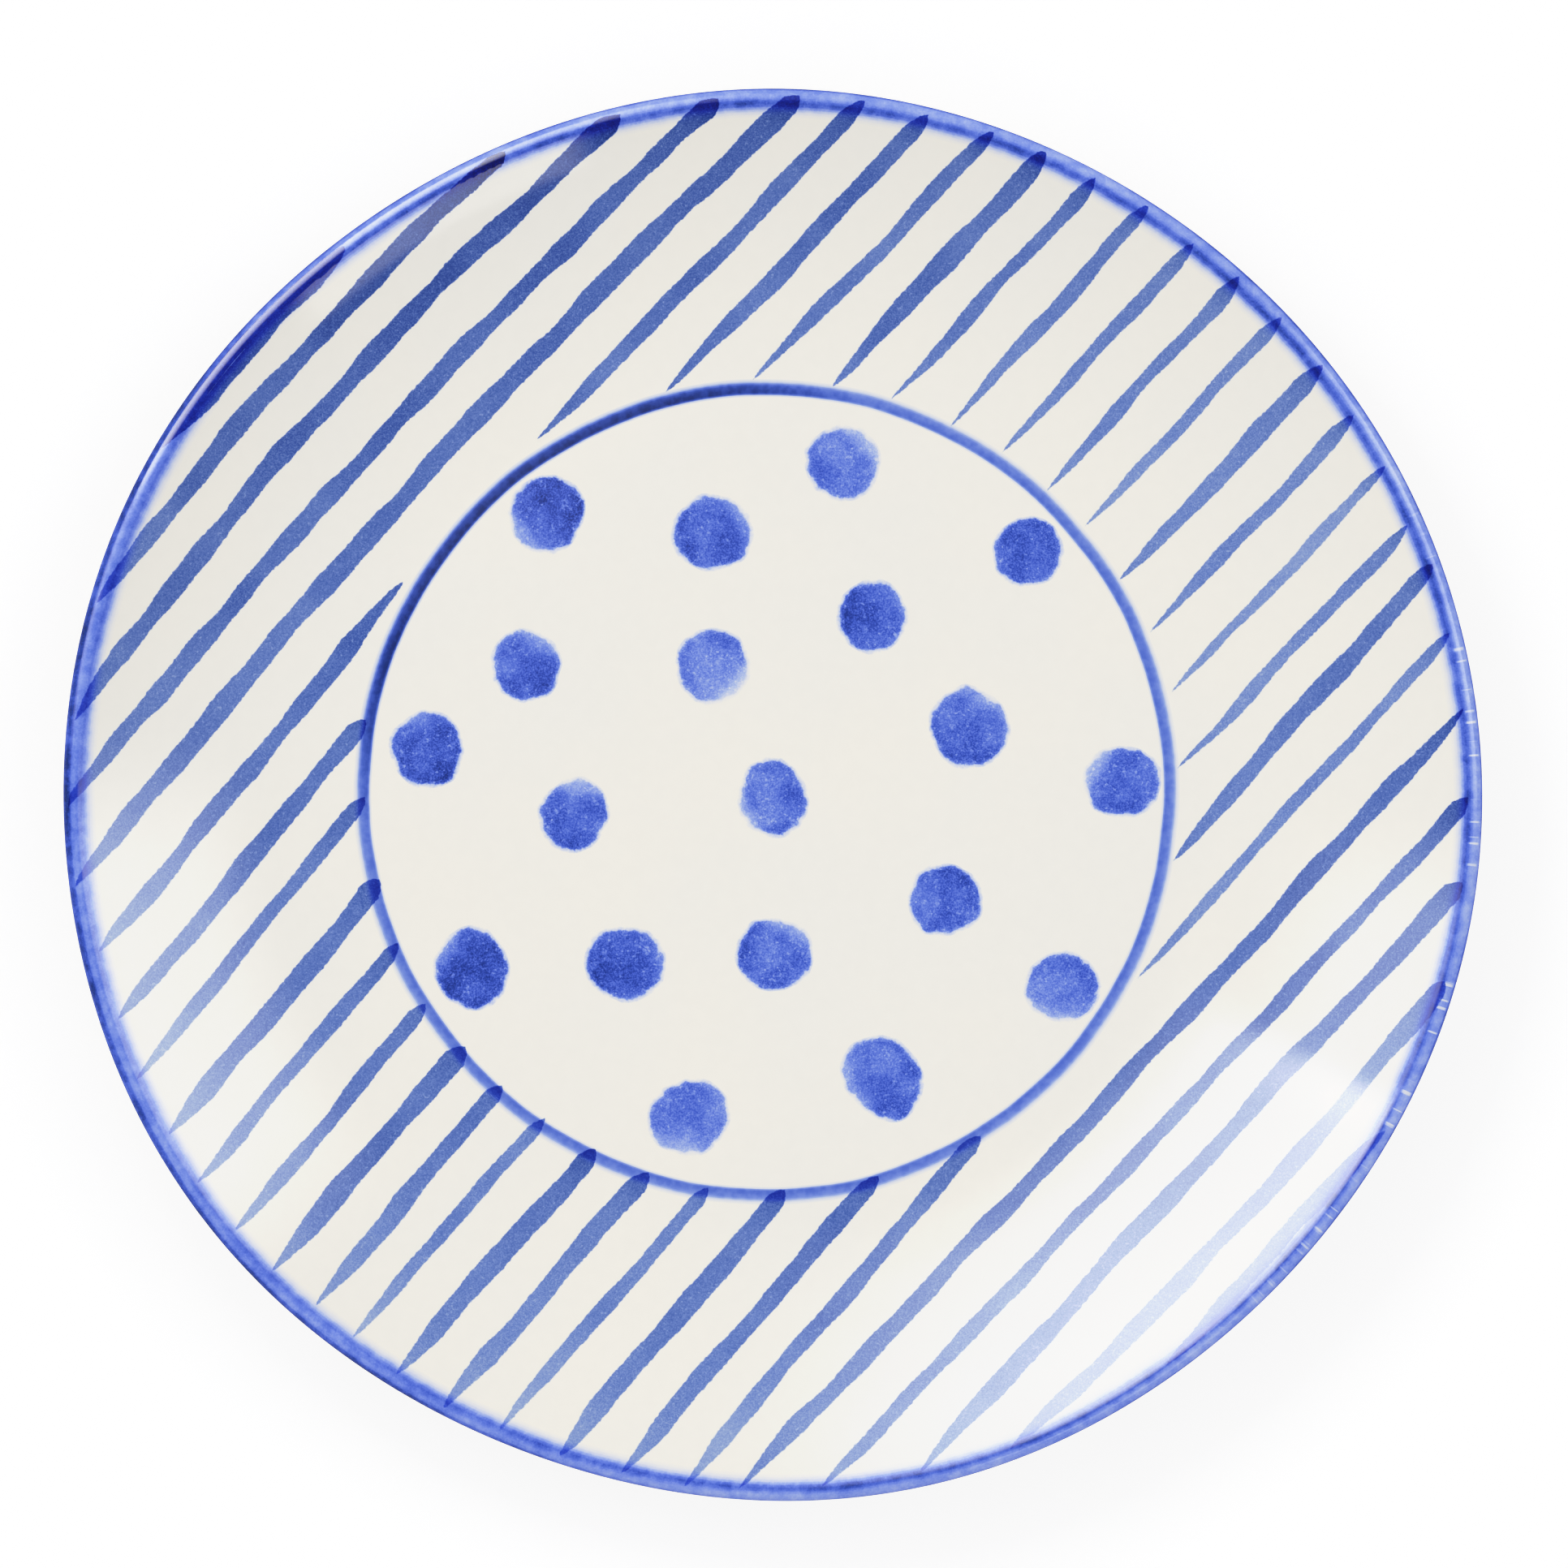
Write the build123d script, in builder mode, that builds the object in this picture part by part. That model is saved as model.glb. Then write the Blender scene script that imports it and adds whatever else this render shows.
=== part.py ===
from build123d import *
import os
from math import asin, cos, degrees, pi, radians, sin

# A hand painted ceramic plate, lying face up on a flat surface.
# It is one firing of clay, a skin of glaze, and cobalt marks painted on that skin.
# The origin is the middle of the foot ring's underside, +Z is up, and sizes are in millimetres.

# ---- the thrown clay ----------------------------------------------------------------------
plate_radius = 134.3  # mean radius of the clay at the lip
well_radius = 80.0  # flat middle of the face
rim_rise = 15.0  # climb of the face from the well to the lip
wall = 4.2  # thickness of the clay
lip_round = 1.8  # rounding of the lip's two edges
lip_round_share = 0.43  # most of the wall that one of the two roundings can take
foot_radius = 82.0  # outside of the foot ring
foot_width = 6.0  # how wide the foot ring stands
foot_height = 3.2  # how far the foot ring lifts the base
foot_round = 1.0  # rounding of the foot ring's lower edges

# The lip is cut by hand, so it wanders in and out a little on its way round:
# (waves in one turn, height of the wave, direction of a crest in degrees)
lip_waves = ((2, 0.45, -3), (3, 0.10, -43), (4, 0.25, 7), (5, 0.26, 2), (6, 0.20, -23))

# ---- glaze and paint ----------------------------------------------------------------------
glaze = 0.5  # thickness of the glaze skin
dry_margin = 1.5  # bare clay left beside the foot ring, on both sides
paint = 0.2  # thickness of the painted marks

# ---- the pattern --------------------------------------------------------------------------
pattern_centre = (-0.9, 0.8)  # the painter's centre, a little off the plate's own
stroke_direction = 47.0  # degrees from +X, the way every stroke was pulled
band_on_face = 4.3  # width of the painted lip band, on the face and on the back
band_on_back = 2.2
ring_radius = 77.6  # centre line of the painted ring round the well
ring_width = 1.9
ring_gap = 1.0  # bare glaze between the ring and the strokes
band_gap = 0.4  # bare glaze between the lip band and the strokes
last_row_margin = 9.7  # from the lip band to the middle of the outermost full row
edge_stroke_depth = 2.6  # depth of the short strokes that run along the lip band
dot_gap = 1.0  # least bare glaze between a dot and the ring

# Width of each row's strokes, left and right of the ring, from the lowest row to the highest.
# A row that passes clear of the ring is one stroke.
row_widths = (
    (3.3, 3.3), (3.5, 3.5), (2.7, 2.7), (3.5, 3.5), (3.2, 2.4), (3.5, 3.6),
    (4.0, 2.6), (2.9, 2.4), (3.7, 2.8), (4.0, 3.6), (2.7, 2.6), (3.5, 2.8),
    (4.0, 2.8), (3.0, 3.0), (3.0, 2.8), (4.0, 4.0), (2.9, 3.0), (3.6, 3.5),
    (3.4, 3.3), (3.9, 3.9), (3.5, 3.5), (3.6, 3.6), (3.5, 3.5),
)

# Each dabbed dot: (direction from the painter's centre in degrees, how much of the way out to
# the ring, diameter)
dots = (
    (77.0, 0.94, 13.7), (128.5, 0.99, 14.0), (102.0, 0.74, 14.3), (42.5, 0.98, 12.7),
    (59.0, 0.565, 13.0), (152.5, 0.755, 13.0), (113.5, 0.38, 13.7), (17.5, 0.595, 14.7),
    (173.0, 0.955, 13.7), (1.5, 0.99, 13.7), (310.0, 0.025, 13.5), (187.0, 0.54, 13.0),
    (328.5, 0.58, 13.3), (272.5, 0.455, 13.7), (230.5, 0.625, 14.3), (211.0, 0.965, 14.3),
    (326.5, 0.985, 13.3), (292.0, 0.87, 15.0), (256.5, 0.94, 14.4),
)

# ---- sizes that follow from the ones above ------------------------------------------------
outline_points = 36  # six to the shortest wave of the lip
floor_height = foot_height + wall
rim_run = plate_radius - well_radius
rim_arc = (rim_run**2 + rim_rise**2) / (2 * rim_rise)  # tangent to the well, reaching the lip
lip_height = floor_height + rim_rise
lip_fillet = min(lip_round, lip_round_share * wall)  # two roundings have to fit in the wall
base_middle = foot_height + wall / 2
lip_reach = plate_radius + sum(height for _, height, _ in lip_waves)
above_lip = lip_height + wall + glaze + paint
overshoot = 2.0  # how far a profile is drawn past the cut that trims it
band_inner_radius = plate_radius - band_on_face
row_pitch = (band_inner_radius - last_row_margin) / (len(row_widths) // 2)
ring_inner_radius = ring_radius - ring_width / 2
ring_outer_radius = ring_radius + ring_width / 2
direction = (cos(radians(stroke_direction)), sin(radians(stroke_direction)), 0)
pattern_plane = Plane(origin=(*pattern_centre, 0), x_dir=direction, z_dir=(0, 0, 1))
plate_plane = Plane(origin=(0, 0, 0), x_dir=direction, z_dir=(0, 0, 1))

os.makedirs("parts", exist_ok=True)


def save(piece, name):
    """Label a finished piece and write it under its own name."""
    piece.label = name
    export_step(piece, f"parts/{name}.step")
    print(f"{name:20s} solids {len(piece.solids()):2d}  volume {piece.volume:10.1f}")


def lip_outline(offset):
    """Points on the hand-cut outline, moved out from the clay by offset."""
    points = []
    for step in range(outline_points):
        angle = 2 * pi * step / outline_points
        wave = sum(height * cos(count * (angle - radians(crest))) for count, height, crest in lip_waves)
        radius = plate_radius + wave + offset
        points.append((radius * cos(angle), radius * sin(angle)))
    return points


def lip_cutter(offset, top=above_lip):
    """A prism with the lip's outline, as tall as the plate or up to top."""
    with BuildPart() as cutter:
        with BuildSketch(Plane.XY):
            with BuildLine():
                Spline(*lip_outline(offset), periodic=True)
            make_face()
        extrude(amount=top)
    return cutter.part


def rim_sweep(skin):
    """Degrees that the face's arc has to turn to pass the lip."""
    return degrees(asin((lip_reach + glaze + paint + overshoot - well_radius) / (rim_arc - skin)))


def dish(skin):
    """The plate without its foot, thickened all over by skin."""
    arc_centre = (well_radius, floor_height + rim_arc)
    sweep = rim_sweep(skin)
    with BuildPart() as shell:
        with BuildSketch(Plane.XZ):
            with BuildLine():
                face = CenterArc(arc_centre, rim_arc - skin, -90, sweep)
                back = CenterArc(arc_centre, rim_arc + wall + skin, -90, sweep)
                Line(face @ 1, back @ 1)
                Polyline(back @ 0, (0, (back @ 0).Y), (0, (face @ 0).Y), face @ 0)
            make_face()
        revolve(axis=Axis.Z)
        add(lip_cutter(skin), mode=Mode.INTERSECT)
        lip_edges = shell.edges().filter_by(lambda edge: edge.length > 2 * pi * (plate_radius - wall))
        fillet(lip_edges, lip_fillet + skin)
    return shell.part


# ---- clay ---------------------------------------------------------------------------------
clay_dish = dish(0)

with BuildPart() as clay_body:
    add(clay_dish)
    with BuildSketch(Plane.XZ):
        with Locations((foot_radius - foot_width / 2, base_middle / 2)):
            Rectangle(foot_width, base_middle)
        fillet(vertices().group_by(Axis.Y)[0], foot_round)
    revolve(axis=Axis.Z)
save(clay_body.part, "clay_body")

# ---- glaze --------------------------------------------------------------------------------
glazed_dish = dish(glaze)

with BuildPart() as glaze_skin:
    add(glazed_dish)
    add(clay_dish, mode=Mode.SUBTRACT)

with BuildPart() as glaze_coat:
    add(glaze_skin.part)
    with BuildSketch(Plane.XY):
        Circle(foot_radius + dry_margin)
    extrude(amount=base_middle, mode=Mode.SUBTRACT)
save(glaze_coat.part, "glaze_coat")

with BuildPart() as recess_glaze:
    with BuildSketch(Plane.XY):
        Circle(foot_radius - foot_width - dry_margin)
    extrude(amount=base_middle)
    add(glaze_skin.part, mode=Mode.INTERSECT)
save(recess_glaze.part, "recess_glaze")

# ---- the band that wraps the lip ----------------------------------------------------------
with BuildPart() as lip_band:
    add(dish(glaze + paint))
    add(glazed_dish, mode=Mode.SUBTRACT)
    add(lip_cutter(-band_on_face), mode=Mode.SUBTRACT)
    add(lip_cutter(-band_on_back, lip_height - wall / 2), mode=Mode.SUBTRACT)
save(lip_band.part, "lip_band")

# ---- the painted layer of the face, which every other mark is a piece of -------------------
with BuildPart() as face_layer:
    with BuildSketch(Plane.XZ):
        with BuildLine():
            arc_centre = (well_radius, floor_height + rim_arc)
            upper = CenterArc(arc_centre, rim_arc - glaze - paint, -90, rim_sweep(glaze + paint))
            lower = CenterArc(arc_centre, rim_arc - glaze, -90, rim_sweep(glaze))
            Line(upper @ 1, lower @ 1)
            Polyline(lower @ 0, (0, (lower @ 0).Y), (0, (upper @ 0).Y), upper @ 0)
        make_face()
    revolve(axis=Axis.Z)
    add(lip_cutter(-band_on_face - band_gap), mode=Mode.INTERSECT)

# ---- ring and dots ------------------------------------------------------------------------
with BuildPart() as centre_ring:
    with BuildSketch(pattern_plane):
        Circle(ring_outer_radius)
        Circle(ring_inner_radius, mode=Mode.SUBTRACT)
    extrude(amount=above_lip)
    add(face_layer.part, mode=Mode.INTERSECT)
save(centre_ring.part, "centre_ring")

for number, (heading, reach, diameter) in enumerate(dots, start=1):
    distance = reach * (ring_inner_radius - dot_gap - diameter / 2)
    dot_x = pattern_centre[0] + distance * cos(radians(heading))
    dot_y = pattern_centre[1] + distance * sin(radians(heading))
    with BuildPart() as dot:
        with BuildSketch(Plane.XY):
            with Locations((dot_x, dot_y)):
                Circle(diameter / 2)
        extrude(amount=above_lip)
        add(face_layer.part, mode=Mode.INTERSECT)
    save(dot.part, f"dot_{number:02d}")

# ---- rows of strokes, all pulled the same way ---------------------------------------------
for number, (left_width, right_width) in enumerate(row_widths, start=1):
    row_place = (number - 1 - len(row_widths) // 2) * row_pitch
    with BuildPart() as stroke_row:
        with BuildSketch(pattern_plane):
            with Locations((-plate_radius / 2, row_place)):
                Rectangle(plate_radius, left_width)
            with Locations((plate_radius / 2, row_place)):
                Rectangle(plate_radius, right_width)
            Circle(ring_outer_radius + ring_gap, mode=Mode.SUBTRACT)
        extrude(amount=above_lip)
        add(face_layer.part, mode=Mode.INTERSECT)
    save(stroke_row.part, f"stroke_row_{number:02d}")

# ---- the two short strokes that lie along the lip band ------------------------------------
for name, side in (("edge_stroke_low", -1), ("edge_stroke_high", 1)):
    chord = band_inner_radius - edge_stroke_depth
    with BuildPart() as edge_stroke:
        with BuildSketch(plate_plane):
            with Locations((0, side * (chord + plate_radius / 2))):
                Rectangle(plate_radius, plate_radius)
        extrude(amount=above_lip)
        add(face_layer.part, mode=Mode.INTERSECT)
    save(edge_stroke.part, name)
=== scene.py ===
# %% [markdown]
# A hand painted ceramic plate
#
# The real plate is one fired piece: a clay dish on a low foot ring, a skin of cream glaze, and
# cobalt marks brushed and dabbed on that skin before the firing, which sinks them into the glaze
# until they are flush with it. It could be one mesh with one painted skin. Here each of those
# layers and marks is a mesh of its own, laid on the same curved surface, so the clay, the glaze and
# every stroke can be picked up separately. The CAD model is loaded first, as the fixed frame that
# gives each piece its place.

# %% Open the frame
import math

import bpy
import numpy as np
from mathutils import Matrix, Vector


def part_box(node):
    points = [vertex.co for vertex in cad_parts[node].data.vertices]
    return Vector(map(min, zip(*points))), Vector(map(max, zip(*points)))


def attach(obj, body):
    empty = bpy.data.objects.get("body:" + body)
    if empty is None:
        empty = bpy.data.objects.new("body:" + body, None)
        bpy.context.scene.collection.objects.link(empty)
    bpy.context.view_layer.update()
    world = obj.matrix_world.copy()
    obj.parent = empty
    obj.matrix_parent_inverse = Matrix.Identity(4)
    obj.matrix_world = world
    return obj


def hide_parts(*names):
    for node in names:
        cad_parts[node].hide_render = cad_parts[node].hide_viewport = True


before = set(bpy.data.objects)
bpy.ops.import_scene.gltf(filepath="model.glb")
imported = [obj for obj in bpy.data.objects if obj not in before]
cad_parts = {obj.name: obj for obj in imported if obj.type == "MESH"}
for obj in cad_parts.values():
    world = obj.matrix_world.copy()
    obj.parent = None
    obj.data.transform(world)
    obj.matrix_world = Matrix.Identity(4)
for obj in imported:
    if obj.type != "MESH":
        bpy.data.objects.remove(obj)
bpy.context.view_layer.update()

MM = 0.001
print("nodes in the frame:", len(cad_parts))

# %% [markdown]
# The surface of the dish
#
# Every layer follows one curve turned about the plate's axis: a flat well, an arc that starts level
# and climbs to the lip, a rounded lip, and the same arc again underneath. A subdivided cylinder
# could be pushed into that shape by hand, but a paint mark then has nothing exact to lie on. A
# formula gives the height and the direction of the surface at any point, so paint can follow it to
# a hundredth of a millimetre.

# %% Sizes of the dish
PLATE_RADIUS = 134.3 * MM  # mean radius of the clay at the lip
WELL_RADIUS = 80 * MM
RIM_RISE = 15 * MM
WALL = 4.2 * MM
LIP_ROUND = 1.8 * MM
FOOT_HEIGHT = 3.2 * MM
FOOT_RADIUS = 82 * MM
FOOT_WIDTH = 6 * MM
GLAZE = 0.5 * MM
DRY_MARGIN = 1.5 * MM
LIP_WAVES = ((2, 0.45, -3), (3, 0.10, -43), (4, 0.25, 7), (5, 0.26, 2), (6, 0.20, -23))

FLOOR = FOOT_HEIGHT + WALL
RIM_RUN = PLATE_RADIUS - WELL_RADIUS
RIM_ARC = (RIM_RUN**2 + RIM_RISE**2) / (2 * RIM_RISE)
print(f"the rim is an arc of {RIM_ARC / MM:.1f} mm radius")


# %% The hand-cut outline
def lip_radius(angle):
    """Radius of the clay at the lip, which wanders because it is trimmed by hand."""
    wave = sum(high * np.cos(count * (angle - math.radians(crest))) for count, high, crest in LIP_WAVES)
    return PLATE_RADIUS + wave * MM


all_round = np.linspace(0, 2 * math.pi, 361)
print(f"lip radius {lip_radius(all_round).min() / MM:.2f} to {lip_radius(all_round).max() / MM:.2f} mm")


# %% Height and direction of the face
def arc_height(radius, arc):
    """Height of a circle of radius arc about the rim's centre, at a distance from the axis."""
    out = np.maximum(radius - WELL_RADIUS, 0)
    return FLOOR + RIM_ARC - np.sqrt(arc**2 - out**2)


def face_surface(x, y, lift):
    """Points and normals of the upper face at (x, y), lifted off the clay along the normal."""
    radius = np.hypot(x, y)
    angle = np.arctan2(y, x)
    round_centre = lip_radius(angle) - LIP_ROUND
    lean = np.arcsin((round_centre - WELL_RADIUS) / (RIM_ARC + LIP_ROUND))
    round_height = arc_height(round_centre, RIM_ARC + LIP_ROUND)
    reach = LIP_ROUND + lift
    on_lip = radius > round_centre - reach * np.sin(lean)
    along = np.where(on_lip, (radius - round_centre) / reach, 0)
    sine = np.clip(np.maximum(radius - WELL_RADIUS, 0) / (RIM_ARC - lift), 0, 0.99)
    out = np.where(on_lip, along, -sine)
    up = np.sqrt(np.clip(1 - out**2, 0, 1))
    height = np.where(on_lip, round_height + reach * up, arc_height(radius, RIM_ARC - lift))
    points = np.stack([x, y, height], -1)
    normals = np.stack([out * np.cos(angle), out * np.sin(angle), up], -1)
    return points, normals


spot = face_surface(np.array([0.0, 0.12]), np.array([0.0, 0.0]), GLAZE)[0]
print("glaze height in the well and at 120 mm:", np.round(spot[:, 2] / MM, 2))

# %% [markdown]
# Turning the dish
#
# A potter turns the dish on a wheel, and a lathe does the same in mesh code: one section is worked
# out for every direction round the axis, and neighbouring sections are joined by quads. A Screw
# modifier would be shorter, but it can't follow an outline that wanders. The section here moves
# with the lip, so the rounding keeps its radius all the way round.

# %% Where the lip's rounding meets the face and the back
TURNS = 480
angles = np.linspace(0, 2 * math.pi, TURNS, endpoint=False)


def arc_point(lean, arc):
    """A place on a circle about the rim's centre, leaning from straight down, as (radius, height)."""
    return WELL_RADIUS + arc * np.sin(lean), FLOOR + RIM_ARC - arc * np.cos(lean)


def lip_rounding():
    """For every direction: the rounding's centre line, the leans where it starts and ends, and the
    heights of its two centres, for the face's edge and for the back's."""
    centre = lip_radius(angles)[:, None] - LIP_ROUND
    upper_lean = np.arcsin((centre - WELL_RADIUS) / (RIM_ARC + LIP_ROUND))
    lower_lean = np.arcsin((centre - WELL_RADIUS) / (RIM_ARC + WALL - LIP_ROUND))
    upper = arc_height(centre, RIM_ARC + LIP_ROUND)
    lower = arc_height(centre, RIM_ARC + WALL - LIP_ROUND)
    return centre, upper_lean, lower_lean, upper, lower


print(f"the face leans {math.degrees(lip_rounding()[1].mean()):.1f} degrees at the lip")

# %% One section, for every direction
WELL_STEPS = np.array([0.0, 4, 12, 24, 36, 48, 60, 70, 76]) * MM
FACE_STEPS = 44
LIP_STEPS = 12  # for each of the lip's two roundings
BACK_STEPS = 60
RIPPLE_PITCH = 5.3  # mm between the turning marks


def dish_section(lift, back_end, ripple=0.0):
    """Rows of (radius, height) from the axis over the face and lip to the back, for every direction.

    back_end is where the back stops, as a distance from the axis. ripple is the height of the
    turning marks that the potter's rib leaves on the back.
    """
    centre, upper_lean, lower_lean, upper, lower = lip_rounding()
    reach = LIP_ROUND + lift
    full = np.ones_like(centre)
    rows = [(WELL_STEPS * full, (FLOOR + lift) * np.ones_like(WELL_STEPS) * full)]
    rows.append(arc_point(upper_lean * np.linspace(0, 1, FACE_STEPS), RIM_ARC - lift))
    turn = (math.pi / 2 + upper_lean) * (1 - np.linspace(0, 1, LIP_STEPS)[1:])
    rows.append((centre + reach * np.cos(turn), upper + reach * np.sin(turn)))
    turn = -(math.pi / 2 - lower_lean) * np.linspace(0, 1, LIP_STEPS)
    rows.append((centre + reach * np.cos(turn), lower + reach * np.sin(turn)))
    steps = np.linspace(1, 0, BACK_STEPS)[1:]
    lean = lower_lean * steps
    waves = np.sin(lean * RIM_ARC / MM * 2 * math.pi / RIPPLE_PITCH)
    rows.append(arc_point(lean, RIM_ARC + WALL + lift + ripple * waves * np.sin(math.pi * steps) ** 0.5))
    radius = np.concatenate([r for r, _ in rows], 1)
    height = np.concatenate([h for _, h in rows], 1)
    if back_end > WELL_RADIUS:
        after_face = np.arange(radius.shape[1]) > len(WELL_STEPS) + FACE_STEPS
        keep = ~(after_face & (radius.min(0) < back_end))
        edge = FLOOR + RIM_ARC - np.sqrt((RIM_ARC + WALL + lift) ** 2 - (back_end - WELL_RADIUS) ** 2)
        radius = np.concatenate([radius[:, keep], back_end * full], 1)
        height = np.concatenate([height[:, keep], edge * full], 1)
    return radius, height


# %% Joining the sections
def lathe(name, radius, height):
    """A closed mesh from sections that start and end on the axis."""
    count = radius.shape[1]
    inner = slice(1, count - 1)
    ring_r, ring_h = radius[:, inner], height[:, inner]
    x = ring_r * np.cos(angles)[:, None]
    y = ring_r * np.sin(angles)[:, None]
    points = np.stack([x, y, ring_h], -1).reshape(-1, 3)
    points = np.concatenate([points, [[0, 0, height[0, 0]], [0, 0, height[0, -1]]]])
    width = count - 2
    first = len(points) - 2
    faces = []
    for turn in range(TURNS):
        here = turn * width
        there = (turn + 1) % TURNS * width
        faces.append((first, here, there))
        for step in range(width - 1):
            faces.append((here + step, here + step + 1, there + step + 1, there + step))
        faces.append((first + 1, there + width - 1, here + width - 1))
    mesh = bpy.data.meshes.new(name)
    mesh.from_pydata(points.tolist(), [], faces)
    mesh.shade_smooth()
    piece = bpy.data.objects.new(name, mesh)
    bpy.context.scene.collection.objects.link(piece)
    print(f"{name}: {len(points)} points, {len(faces)} faces")
    return piece


# %% [markdown]
# Clay, glaze and the glaze inside the foot
#
# Bare clay shows only on the foot ring, because a glazed foot would stick to the kiln shelf. The
# glaze stops in a rounded bead a little way up from the foot, and starts again inside it. A bevel
# on a cut edge would do nearly as well, but here both edges are simply part of the turned section,
# so the bead is real and catches the light from below.

# %% The clay dish with its foot ring
def foot_section():
    """The foot ring from its outer wall, under the foot and up into the recess, in mm."""
    outer = FOOT_RADIUS / MM
    inner = outer - FOOT_WIDTH / MM
    top = FOOT_HEIGHT / MM
    return np.array([
        (outer + 1.2, top + 0.02), (outer + 0.5, top - 0.15), (outer + 0.1, top - 0.6),
        (outer, top - 1.2), (outer, 1.0), (outer - 0.08, 0.6), (outer - 0.3, 0.3), (outer - 0.62, 0.08),
        (outer - 1.0, 0.0), (outer - 2.0, 0.03), (outer - 3.0, 0.0), (outer - 4.0, 0.03),
        (inner + 1.0, 0.0), (inner + 0.62, 0.08), (inner + 0.3, 0.3), (inner + 0.08, 0.6), (inner, 1.0),
        (inner, top - 1.2), (inner - 0.1, top - 0.6), (inner - 0.5, top - 0.15), (inner - 1.2, top),
    ]) * MM


foot = foot_section()
clay_r, clay_h = dish_section(-0.02 * MM, FOOT_RADIUS + 1.3 * MM)
recess = np.array([(out, FOOT_HEIGHT / MM) for out in (70, 40, 0)]) * MM
tail = np.concatenate([foot, recess])
clay_r = np.concatenate([clay_r, np.tile(tail[:, 0], (TURNS, 1))], 1)
clay_h = np.concatenate([clay_h, np.tile(tail[:, 1], (TURNS, 1))], 1)
clay = lathe("clay_dish", clay_r, clay_h)
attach(clay, "root")
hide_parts("clay_body")

# %% The glaze coat, a skin with an outer and an inner side
THROWING_MARKS = 0.06 * MM
glaze_end = FOOT_RADIUS + DRY_MARGIN
outer_r, outer_h = dish_section(GLAZE, glaze_end + 0.45 * MM, THROWING_MARKS)
inner_r, inner_h = dish_section(0.0, glaze_end + 0.25 * MM)
bead_r = np.tile(glaze_end + np.array([0.15, 0.02, 0.0, 0.08]) * MM, (TURNS, 1))
bead_h = FOOT_HEIGHT - np.tile(np.array([0.42, 0.28, 0.14, 0.02]) * MM, (TURNS, 1))
glaze_r = np.concatenate([outer_r, bead_r, inner_r[:, ::-1]], 1)
glaze_h = np.concatenate([outer_h, bead_h, inner_h[:, ::-1]], 1)
glaze_coat = lathe("glaze_skin", glaze_r, glaze_h)
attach(glaze_coat, "root")
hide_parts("glaze_coat")

# %% The disc of glaze inside the foot
SPIRAL_PITCH = 6.1  # mm between the marks of the tool in the recess
disc_edge = FOOT_RADIUS - FOOT_WIDTH - DRY_MARGIN
disc_low = FOOT_HEIGHT - GLAZE
spiral = np.linspace(0.02, 0.985, 60)
waves = 1 - np.cos(spiral * disc_edge / MM * 2 * math.pi / SPIRAL_PITCH)
marks = THROWING_MARKS * waves * (1 - spiral**8) / 2
bead_in = np.array([0.3, 0.08, 0.0, 0.1]) * MM
bead_up = np.array([0.48, 0.36, 0.24, 0.08]) * MM
disc_r = np.concatenate([[0, disc_edge * 0.5], disc_edge - bead_in, (spiral * disc_edge)[::-1], [0]])
disc_h = np.concatenate([[FOOT_HEIGHT] * 2, disc_low + bead_up, (disc_low + marks)[::-1], [disc_low]])
recess_glaze = lathe("recess_glaze_disc", np.tile(disc_r, (TURNS, 1)), np.tile(disc_h, (TURNS, 1)))
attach(recess_glaze, "root")
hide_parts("recess_glaze")

# %% [markdown]
# A mark of paint
#
# A painted mark could be an image wrapped on the plate, but then it is only as sharp as the image.
# Here every mark is a closed sliver of its own that lies in the glaze: its top stands a few
# hundredths of a millimetre proud, its rim dips below the glaze, and its normals are the plate's
# own, so a reflection crosses from glaze to paint without a step. Each point also carries how far
# it is inside the mark's edge and how much pigment the brush left there, which the materials read.

# %% Closing a sliver
PROUD = 0.03 * MM
SUNK = 0.25 * MM


def painted_sliver(name, node, points, normals, faces, notes):
    """A closed thin solid: the given faces, a copy of them below, and a wall along every open edge."""
    count = len(points)
    below = points - normals * SUNK
    used = {}
    for face in faces:
        for a, b in zip(face, face[1:] + face[:1]):
            used[(a, b)] = used.get((a, b), 0) + 1
    rim = [(a, b) for a, b in used if (b, a) not in used]
    under = [tuple(corner + count for corner in reversed(face)) for face in faces]
    walls = [(b, a, a + count, b + count) for a, b in rim]
    mesh = bpy.data.meshes.new(name)
    mesh.from_pydata(np.concatenate([points, below]).tolist(), [], faces + under + walls)
    mesh.shade_smooth()
    for note, values in notes.items():
        layer = mesh.attributes.new(note, "FLOAT", "POINT")
        layer.data.foreach_set("value", np.concatenate([values, values]).astype(np.float32))
    loops = np.zeros((len(mesh.loops), 3))
    corners = np.zeros(len(mesh.loops), dtype=int)
    mesh.loops.foreach_get("vertex_index", corners)
    top = sum(len(face) for face in faces)
    loops[:top] = normals[corners[:top]]
    loops[top:2 * top] = -normals[corners[top:2 * top] - count]
    mesh.normals_split_custom_set(loops.tolist())
    piece = bpy.data.objects.new(name, mesh)
    bpy.context.scene.collection.objects.link(piece)
    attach(piece, "root")
    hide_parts(node)
    return piece


def grid_faces(rows, columns, closed=False):
    """Quads of a grid of points, whose last row may join its first."""
    faces = []
    for row in range(rows if closed else rows - 1):
        here = row * columns
        there = (row + 1) % rows * columns
        for column in range(columns - 1):
            faces.append((here + column, there + column, there + column + 1, here + column + 1))
    return faces


def distance_from_lip(x, y):
    """Millimetres inward from the outside of the glaze at the lip."""
    return (lip_radius(np.arctan2(y, x)) + GLAZE - np.hypot(x, y)) / MM


# %% [markdown]
# The lip band
#
# The band is brushed round the lip while the plate turns on a banding wheel. It wraps over the
# edge and a little way down the back. It could be a pipe laid round the lip, but then the lip would
# look swollen, so its mesh follows the section of the lip from the face to the back. The pigment
# runs off the crown of the lip and gathers on both sides of it. The dark on the lip's outer side is
# partly that pigment and partly painted shade of the outer side. That happens in the material, from
# the distance to the lip that each point carries.

# %% The band's section
BAND_ON_FACE = 6.3 * MM
BAND_ON_BACK = 2.2 * MM
CROWN_STEPS = 13
UNDER_STEPS = 10
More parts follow.
